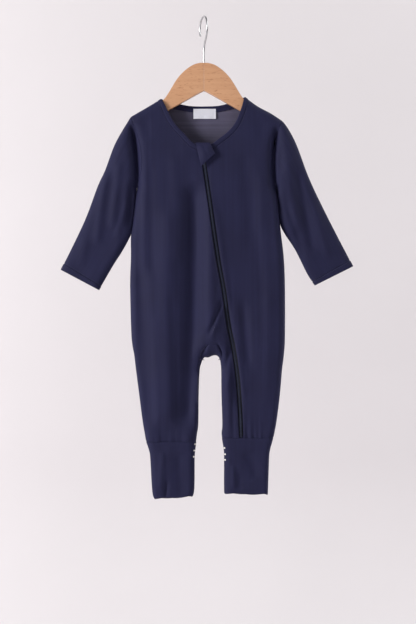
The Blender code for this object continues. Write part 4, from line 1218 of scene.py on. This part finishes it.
band_outer, band_inner = stacked(outer_rows), stacked(inner_rows)
station_count = len(band_outer) // across_count
band_middle = band_outer.reshape(station_count, across_count, 3)[:, across_count // 2]
band_length = reach_of(band_middle)
band_grain = np.stack([np.tile(BINDING_ACROSS * BAND, station_count),
                       np.repeat(band_length, across_count)], axis=1)
cells = grid_cells(station_count, across_count)
neck_binding = wall("binding", band_outer, band_inner, cells, band_grain * MM, [FACE])
declare(neck_binding, "jersey", ["neck_binding"])
print("binding is", round(float(band_length[-1])), "mm round")

# %% Woven label
LABEL_BOX = (-17, -161, 19, -145)  # x and z, low then high
LABEL_THICK, LABEL_COLUMNS, LABEL_ROWS = 0.45, 25, 12
low_x, low_z, high_x, high_z = LABEL_BOX
label_x = np.linspace(low_x, high_x, LABEL_COLUMNS)
points = np.vstack([np.stack([label_x, np.full(LABEL_COLUMNS, z)], axis=1)
                    for z in np.linspace(high_z, low_z, LABEL_ROWS)])
curl = (0.5 * np.sin((points[:, 0] - low_x) / (high_x - low_x) * 7)
        * ease((high_z - points[:, 1]) / (high_z - low_z)))
label_lift = -DOUBLED - 1.0  # in front of the binding's seam allowance
outer, inner = two_faces(points, BACK, label_lift, label_lift - LABEL_THICK, -np.abs(curl))
label = wall("woven_label", outer, inner, grid_cells(LABEL_ROWS, LABEL_COLUMNS), points * MM, [LABEL])
declare(label, "label", ["neck_label"])

# %% Zip guard
GUARD_CORNERS = np.array([(-13.4, -202), (9.6, -202), (17.3, -219.5), (-4.6, -240)], float)
GUARD_LIFTS = np.array([4.4, 4.4, 7.0, 6.4])  # height over the cloth at each corner
GUARD_CROWN, GUARD_THICK = 3.4, 1.2
shares = rounded_both(0.06, 20, 3)
guard_points, guard_lift = [], []
for down in shares:
    for over in shares:
        mix = np.array([(1 - down) * (1 - over), (1 - down) * over, down * over, down * (1 - over)])
        guard_points.append(mix @ GUARD_CORNERS)
        crease = -0.9 * math.exp(-(((over - 0.42 - 0.2 * down) / 0.12) ** 2)) * math.sin(math.pi * down)
        crown = GUARD_CROWN * math.sin(math.pi * down) * math.sin(math.pi * over)
        guard_lift.append(mix @ GUARD_LIFTS + crown + crease)
points, guard_lift = np.array(guard_points), np.array(guard_lift)
cells = grid_cells(len(shares), len(shares))
outer, inner = two_faces(points, FRONT, guard_lift - rim_drop(len(points), cells, 0.5),
                         guard_lift - GUARD_THICK)
guard = wall("guard_flap", outer, inner, cells, points * MM, [FACE])
declare(guard, "jersey", ["zip_guard"])

# %% [markdown]
# ## Seam allowances
# Inside a real garment each seam has its two trimmed edges, overlocked together and pressed flat.
# They are modelled as thin strips behind the seams, and they also stop light from leaking through.

# %% Seam strips
ALLOWANCE, SMALL_ALLOWANCE, NECK_ALLOWANCE = 3.8, 1.8, 2.4  # width to each side of the seam
ALLOWANCE_THICK, STRIP_POINTS, STRIP_STEP = 0.7, 8, 2.0
STRIP_SHUT = 0.12  # half of the gap that stays between a front and a back strip at the suit's edge


def seam_strip(name, line, side, lift=-JERSEY - 0.8, width=ALLOWANCE):
    """A strip along a seam's line, width to each side, on the inside of the skin."""
    run = np.gradient(line, axis=0)
    normal = np.stack([run[:, 1], -run[:, 0]], axis=1)
    normal /= np.linalg.norm(normal, axis=1)[:, None]
    across = np.linspace(-1, 1, STRIP_POINTS) * width
    points = (line[:, None, :] + normal[:, None, :] * across[:, None]).reshape(-1, 2)
    outer, inner = two_faces(points, side, lift, lift - ALLOWANCE_THICK, body_relief(points, side),
                             STRIP_SHUT)
    length = np.repeat(np.arange(len(line)) * STRIP_STEP, STRIP_POINTS)
    grain = np.stack([np.tile(across, len(line)), length], axis=1) * MM
    return wall(name, outer, inner, grid_cells(len(line), STRIP_POINTS), grain, [FACE])


def join(name, pieces):
    """Joins finished pieces into the first one."""
    select_only(pieces)
    bpy.ops.object.join()
    pieces[0].name = name
    pieces[0].select_set(False)
    return pieces[0]


def level_line(low_x, high_x, z, count):
    return np.stack([np.linspace(low_x, high_x, count), np.full(count, z)], axis=1)


strips = []
inset = np.linspace(0.03, 0.93, 60)
for side_name, line in (("right", ARMHOLE_RIGHT), ("left", ARMHOLE_LEFT)):
    for side in (FRONT, BACK):
        strips.append(seam_strip(f"armhole_{side_name}_{side}", along(smooth(line), inset), side))
for number, ((edge, away), side) in enumerate((
        (neck_right(60), FRONT), (neck_back(80), BACK), (neck_left(60), FRONT))):
    neck_seam = (edge + away * (BAND - GAP / 2))[2:-2]
    strips.append(seam_strip(f"neck_{number}", neck_seam, side, -DOUBLED - 0.1, NECK_ALLOWANCE))
for side in (FRONT, BACK):
    for column, seam_z in ((1, RIGHT_SEAM_Z), (2, LEFT_SEAM_Z)):
        z = seam_z - GAP / 2
        low_x, high_x = sorted((float(read(SIDES, z, column)), float(read(INSEAMS, z, column))))
        strips.append(seam_strip(f"leg_{column}_{side}", level_line(low_x + 0.6, high_x - 0.6, z, 40), side,
                                 -DOUBLED - 0.2))
    for column in (1, 2):
        z = np.linspace(FORK_TOP_Z - 1, CROTCH_Z + 1, 18)
        fork_seam = np.stack([read(FORK, z, column), z], axis=1)
        strips.append(seam_strip(f"fork_{column}_{side}", fork_seam, side, width=SMALL_ALLOWANCE))
    fork_top = level_line(float(FORK[0, 1]), float(FORK[0, 2]), FORK_TOP_Z - GAP / 2, 10)
    strips.append(seam_strip(f"fork_top_{side}", fork_top, side, width=SMALL_ALLOWANCE))
allowances = join("seam_allowances", strips)
declare(allowances, "jersey", [])

# %% [markdown]
# ## The zip
# A coil zip: two woven tapes, and along each a coiled filament whose loops mesh down the middle.
# The tapes follow the panels' inside. One loop is modelled by hand as a rounded bar, then copied
# down the line from each side in turn.

# %% Zip tapes
TAPE_LIFT, TAPE_THICK = -JERSEY - 1.1, 0.6
TAPE_ACROSS = np.array([0.25, 1.2, 2.6, 5, 12.4])  # from the zip's middle to the tape's edge
zip_top, zip_low = -209, LEFT_SEAM_Z + 0.6
zip_z = np.linspace(zip_top, zip_low, 150)
for name, node, sign in (("right_tape", "zip_tape_right", -1), ("left_tape", "zip_tape_left", 1)):
    across, heights = sign * TAPE_ACROSS, np.repeat(zip_z, len(TAPE_ACROSS))
    points = np.stack([(read(ZIP, zip_z, 1)[:, None] + across).ravel(), heights], axis=1)
    outer, inner = two_faces(points, FRONT, TAPE_LIFT, TAPE_LIFT - TAPE_THICK, body_relief(points, FRONT))
    grain = np.stack([np.tile(across, len(zip_z)), -heights], axis=1) * MM
    tape = wall(name, outer, inner, grid_cells(len(zip_z), len(across)), grain, [ZIP_TAPE])
    declare(tape, "zip_tape", [node])


# %% Copies of one hand-made shape
def start_shape(name, operator, **settings):
    """Adds a primitive with nothing else selected and returns it."""
    bpy.ops.object.select_all(action="DESELECT")
    operator(**settings)
    made = bpy.context.object
    made.name = name
    return made


def copies(name, shape, places, material):
    """One joined mesh: the shape's own mesh at each of the places (4 by 4 matrices)."""
    points = np.array([corner.co for corner in shape.data.vertices])
    faces = [tuple(face.vertices) for face in shape.data.polygons]
    count = len(points)
    spots, all_faces = [], []
    for number, place in enumerate(np.array(places)):
        spots.append(points @ place[:3, :3].T + place[:3, 3])
        all_faces += [tuple(index + count * number for index in face) for face in faces]
    mesh = bpy.data.meshes.new(name)
    mesh.from_pydata(np.vstack(spots), [], all_faces)
    bpy.data.objects.remove(shape, do_unlink=True)
    made = link(name, mesh, [material])
    print(f"{name}: {len(places)} copies, {len(mesh.polygons)} faces")
    return made


def frame_at(place, along_way, out_way):
    """A matrix with x along the run, z out of the cloth, placed in metres."""
    x_way = Vector(along_way).normalized()
    z_way = Vector(out_way)
    z_way = (z_way - x_way * z_way.dot(x_way)).normalized()
    turn = Matrix((x_way, z_way.cross(x_way), z_way)).transposed().to_4x4()
    return Matrix.Translation(Vector(place) * MM) @ turn


def on_skin(points, side, lift, chains=BODY_EDGES, form=None, relief=None):
    """Places on the cloth and the ways out of it there."""
    form = body_form(points) if form is None else form
    relief = body_relief(points, side) if relief is None else relief
    base = skin(points, side, chains, form, lift, relief, 0)
    return base, skin(points, side, chains, form, lift + 1, relief, 0) - base


# %% Zip loops
LOOP_PITCH, LOOP_DEEP, LOOP_SIDE = 1.5, 1.2, 0.65  # spacing, depth under the skin, shift to each side
LOOP_SIZE, LOOP_ROUNDING = (0.0006, 0.0024, 0.0011), 0.00024  # along the zip, across it and deep
loop = start_shape("loop", bpy.ops.mesh.primitive_cube_add, size=1, scale=LOOP_SIZE)
bpy.ops.object.transform_apply(location=False, rotation=False, scale=True)
edit_all()
bpy.ops.mesh.bevel(offset=LOOP_ROUNDING, segments=2, affect="EDGES")
bpy.ops.object.mode_set(mode="OBJECT")
loop_z = np.arange(zip_top, zip_low + 0.4, -LOOP_PITCH / 2)
middle = np.stack([read(ZIP, loop_z, 1), loop_z], axis=1)
side_shift = np.where(np.arange(len(middle)) % 2, LOOP_SIDE, -LOOP_SIDE)
shift = np.stack([side_shift, 0 * side_shift, 0 * side_shift], axis=1)
base, out_way = on_skin(middle + shift[:, :2], FRONT, -LOOP_DEEP)
run_way = np.gradient(base - shift, axis=0)
places = [frame_at(place, way, out) for place, way, out in zip(base, run_way, out_way)]
zip_coil = copies("coil_loops", loop, places, COIL)
carry(zip_coil, "zip_coil", "zip_coil")

# %% [markdown]
# ## Stitching
# Topstitches are short raised threads that sink into the cloth at both ends. One is modelled as a
# bevelled bar and copied along each sewn line: beside the zip, the neck, the hems and the gusset.

# %% Stitch lines
STITCH_PITCH = 2.7
STITCH_LENGTH, STITCH_RADIUS, STITCH_ROUNDING = 0.0019, 0.00024, 0.00011
ON_CLOTH, ON_HEM = 0.05, 0.1  # height of a stitch's middle over the cloth
BY_ZIP, BY_NECK, BY_GUSSET = 2.0, 1.3, 1.7  # from a seam to the line of stitches beside it


def stitch_shape():
    made = start_shape("stitch", bpy.ops.mesh.primitive_cylinder_add, vertices=6, radius=STITCH_RADIUS,
                       depth=STITCH_LENGTH, rotation=(0, math.radians(90), 0))
    bpy.ops.object.transform_apply(location=False, rotation=True, scale=False)
    edit_all()
    bpy.ops.mesh.bevel(offset=STITCH_ROUNDING, segments=1, affect="EDGES")
    bpy.ops.object.mode_set(mode="OBJECT")
    return made


def stitched(base, out_way):
    """Matrices along a run of places a stitch apart."""
    reach = reach_of(base)
    wanted = np.arange(STITCH_PITCH, reach[-1] - STITCH_PITCH, STITCH_PITCH)
    read_at = [at(wanted, reach, values) for values in (base, np.gradient(base, axis=0), out_way)]
    return [frame_at(place, way, out) for place, way, out in zip(*read_at)]


def stitches(name, places):
    made = copies(name, stitch_shape(), places, THREAD)
    carry(made, "jersey")


seam_z = np.linspace(-244, LEFT_SEAM_Z + 2, 260)
places = []
for sign in (-1, 1):
    line = np.stack([read(ZIP, seam_z, 1) + sign * (ZIP_HALF_GAP + BY_ZIP), seam_z], axis=1)
    places += stitched(*on_skin(line, FRONT, ON_CLOTH))
stitches("zip_stitches", places)
places = []
for (edge, away), side in ((neck_right(120), FRONT), (neck_back(140), BACK), (neck_left(120), FRONT)):
    places += stitched(*on_skin((edge + away * (BAND + BY_NECK))[4:-4], side, ON_CLOTH))
stitches("neck_stitches", places)

# %% Hem and gusset stitches
HEM_ROWS = 1.6  # from the turned-up edge to the row of stitches on each side of it
for side_name, outer_edge, inner_edge in (("right", OUTER_RIGHT, INNER_RIGHT),
                                          ("left", OUTER_LEFT, INNER_LEFT)):
    outer_edge, inner_edge = smooth(outer_edge), smooth(inner_edge)
    length = steps_of(outer_edge).sum()
    places = []
    for from_hem in (HEM_WIDTH - HEM_ROWS, HEM_WIDTH + HEM_ROWS):
        down = 1 - from_hem / length
        ends = np.array([along(outer_edge, [down])[0], along(inner_edge, [down])[0]])
        line = along(ends, np.linspace(0.012, 0.988, 80))
        lift = float(hem_profile(from_hem)) + ON_HEM
        for side in (FRONT, BACK):
            places += stitched(*on_skin(line, side, lift, SLEEVE_EDGES[side_name], sleeve_form(line, down),
                                        sleeve_relief(line, side, down)))
    stitches(f"hem_stitches_{side_name}", places)
places = []
for side in (FRONT, BACK):
    for column, sign in ((1, -1), (2, 1)):
        z = np.linspace(FORK_TOP_Z, CROTCH_Z + 4, 40)
        line = np.stack([read(FORK, z, column) + sign * BY_GUSSET, z], axis=1)
        places += stitched(*on_skin(line, side, ON_CLOTH))
stitches("gusset_stitches", places)

# %% [markdown]
# ## Grip marks
# The folded cuffs carry small printed silicone marks that stop a foot from slipping. On the hanging
# suit only a few show at the cuffs' inner edges. Each is a low dome: a sphere squashed flat.

# %% Grips
GRIP_SIZE = (0.0015, 0.0021, 0.0006)  # half of its length up the cuff, its width and its height
GRIP_HEIGHTS = ((-681.8, -692, -702), (-688, -698, -707))  # z on the right cuff and on the left
GRIP_FROM_EDGE, GRIP_LIFT = {FRONT: 1.7, BACK: 5.4}, 0.15
grip = start_shape("grip", bpy.ops.mesh.primitive_uv_sphere_add, segments=12, ring_count=8, radius=1)
edit_all()
bpy.ops.transform.resize(value=GRIP_SIZE)
bpy.ops.object.mode_set(mode="OBJECT")
places = []
for column, sign, heights in zip((1, 2), (-1, 1), GRIP_HEIGHTS):
    z = np.array(heights)
    for side, from_edge in GRIP_FROM_EDGE.items():
        line = np.stack([read(INSEAMS, z, column) + sign * from_edge, z], axis=1)
        base, out_way = on_skin(line, side, GRIP_LIFT, relief=0)
        places += [frame_at(place, (0, 0, 1), out) for place, out in zip(base, out_way)]
grips = copies("grip_marks", grip, places, GRIP)
carry(grips)

# %% [markdown]
# ## The hanger
# Two halves of beech are glued at the middle, where a thin joint line shows. Each starts as a flat
# disc whose rim is dragged to the half's outline, then extruded and beveled all round. The hook is
# plain wire bent in one plane, so it is a curve with a round section.

# %% Beech and wire
def beech_material():
    """Pale beech: long grain along the arm, small dark flecks and fine pores."""
    shader = Shader("beech")
    place = shader.object_coordinates()
    grain = shader.noise(shader.stretched(place, (14, 60, 150)), 1.0, 4, 0.55)
    fine = shader.noise(shader.stretched(place, (60, 300, 900)), 1.0, 3)
    flecks = shader.noise(shader.stretched(place, (140, 900, 700)), 1.0, 2)
    fleck = shader.node("ShaderNodeValToRGB", {"stops": [(0.6, (0, 0, 0)), (0.72, (1, 1, 1))]},
                        {"Fac": flecks})
    wood = shader.mix(grain, linear(190, 137, 98), linear(216, 168, 130))
    shaded = shader.mix(fleck["Color"], wood, linear(172, 118, 80))
    shader.set(base_color=shader.mix(0.8, wood, shaded), roughness=0.42 + fine * 0.16, coat_weight=0.15)
    shader.bump(grain * 0.6 + fine * 0.4, 0.00018, 0.5)
    return shader.material


def wire_material():
    """Drawn, nickel-plated wire: fine lines and a faint haze."""
    shader = Shader("plated_wire")
    place = shader.object_coordinates()
    lines = shader.noise(shader.stretched(place, (900, 900, 60)), 1.0, 3)
    haze = shader.noise(place, 120.0, 2)
    shader.set(base_color=shader.mix(haze, linear(168, 170, 172), linear(206, 207, 208)), metallic=1.0,
               roughness=0.2 + lines * 0.12 + haze * 0.06)
    shader.bump(lines, 0.00003, 0.5)
    return shader.material


BEECH, WIRE = beech_material(), wire_material()
print("beech and wire made")

# %% Hanger arms
HANGER_THICKNESS, HANGER_ROUNDING = 12.0, 3.4
JOINT_HALF = 0.08  # half of the gap at the glued joint
HANGER_HALF = [
    (JOINT_HALF, -73), (8, -73.7), (16, -76), (24, -80.6), (31, -86), (38, -93), (45, -102), (52, -113.5),
    (58, -123.5), (63.5, -131), (70, -136), (92, -149.5), (108, -159.2), (112.5, -163.5), (114, -169),
    (112, -175), (106, -177), (57, -149), (12, -123.6), (JOINT_HALF, -117.4),
]
outline = smooth(HANGER_HALF, 6)
for name, node, sign in (("right_arm", "hanger_arm_right", -1), ("left_arm", "hanger_arm_left", 1)):
    arm = start_shape(name, bpy.ops.mesh.primitive_circle_add, vertices=len(outline), radius=0.05,
                      fill_type="NGON", rotation=(math.radians(90), 0, 0))
    bpy.ops.object.transform_apply(location=False, rotation=True, scale=False)
    for corner, (x, z) in zip(arm.data.vertices, outline):
        corner.co = Vector((sign * max(x, JOINT_HALF), HANGER_THICKNESS / 2, z)) * MM
    edit_all()
    bpy.ops.mesh.extrude_region_move(TRANSFORM_OT_translate={"value": (0, -HANGER_THICKNESS * MM, 0)})
    bpy.ops.mesh.select_all(action="SELECT")
    bpy.ops.mesh.normals_make_consistent(inside=False)
    bpy.ops.mesh.select_all(action="DESELECT")
    bpy.ops.object.mode_set(mode="OBJECT")
    for edge in arm.data.edges:
        start, end = (arm.data.vertices[i].co for i in edge.vertices)
        on_face = abs(start.y - end.y) < 1e-6
        edge.select = on_face and max(abs(start.x), abs(end.x)) > 0.0003
    bpy.ops.object.mode_set(mode="EDIT")
    bpy.ops.mesh.select_mode(type="EDGE")
    bpy.ops.mesh.bevel(offset=HANGER_ROUNDING * MM, segments=6, profile=0.5, affect="EDGES",
                       clamp_overlap=True)
    bpy.ops.object.mode_set(mode="OBJECT")
    bpy.ops.object.shade_smooth_by_angle(angle=math.radians(35))
    arm.data.materials.append(BEECH)
    carry(arm, "beech", node)
    print(name, len(arm.data.polygons), "faces")

# %% Hook
HOOK_WIRE, HOOK_RADIUS, HOOK_TURN, HOOK_SEAT_X = 3.0, 19.0, math.radians(18), -0.8
HOOK_BEND_Z = -51  # the shank is straight below this
HOOK_SHANK = [(0, -74.5), (0, -60), (0, -51), (-1.6, -45.5), (-6.2, -39.6), (-12, -33.6), (-16.6, -26.6)]
centre_z = HOOK_WIRE / 2 - HOOK_RADIUS
route = HOOK_SHANK + [(-HOOK_RADIUS * math.cos(turn), centre_z + HOOK_RADIUS * math.sin(turn))
                      for turn in np.radians(np.arange(-15, 211, 15))]
route = smooth(route, 6)
wire = bpy.data.curves.new("hook_wire", "CURVE")
wire.dimensions = "3D"
wire.bevel_depth = HOOK_WIRE / 2 * MM
wire.bevel_resolution = 6
wire.use_fill_caps = True
spline = wire.splines.new("POLY")
spline.points.add(len(route) - 1)
for point, (reach, z) in zip(spline.points, route):
    shift = HOOK_SEAT_X * float(ease((z - HOOK_BEND_Z) / (HOOK_RADIUS + abs(centre_z))))
    place = Vector((shift - reach * math.sin(HOOK_TURN), reach * math.cos(HOOK_TURN), z)) * MM
    point.co = (*place, 1)
hook = bpy.data.objects.new("hook_wire", wire)
bpy.context.scene.collection.objects.link(hook)
select_only([hook])
bpy.ops.object.convert(target="MESH")
hook = bpy.context.object
make_outward(hook)
hook.data.shade_smooth()
hook.data.set_sharp_from_angle(angle=math.radians(50))
hook.data.materials.append(WIRE)
carry(hook, "hook_steel", "hanger_hook")
print("hook wire", len(hook.data.polygons), "faces")

# %% [markdown]
# ## Slider and pull
# The slider and its pull hide under the guard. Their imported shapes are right, so they stay as they
# are and get enamelled metal: dark paint that is worn a little in spots.

# %% Enamel
enamel = Shader("dark_enamel")
place = enamel.object_coordinates()
wear = enamel.noise(place, 900.0, 4)
cloud = enamel.noise(place, 260.0, 2)
enamel.set(base_color=enamel.mix(wear * cloud * 1.6, linear(26, 28, 42), linear(70, 72, 84)), metallic=0.6,
           roughness=0.32 + wear * 0.2)
enamel.bump(wear, 0.00003)
for node in ("zip_slider", "zip_pull"):
    slots = frame["nodes"][node].data.materials
    slots.clear()
    slots.append(enamel.material)
print("slider and pull enamelled")
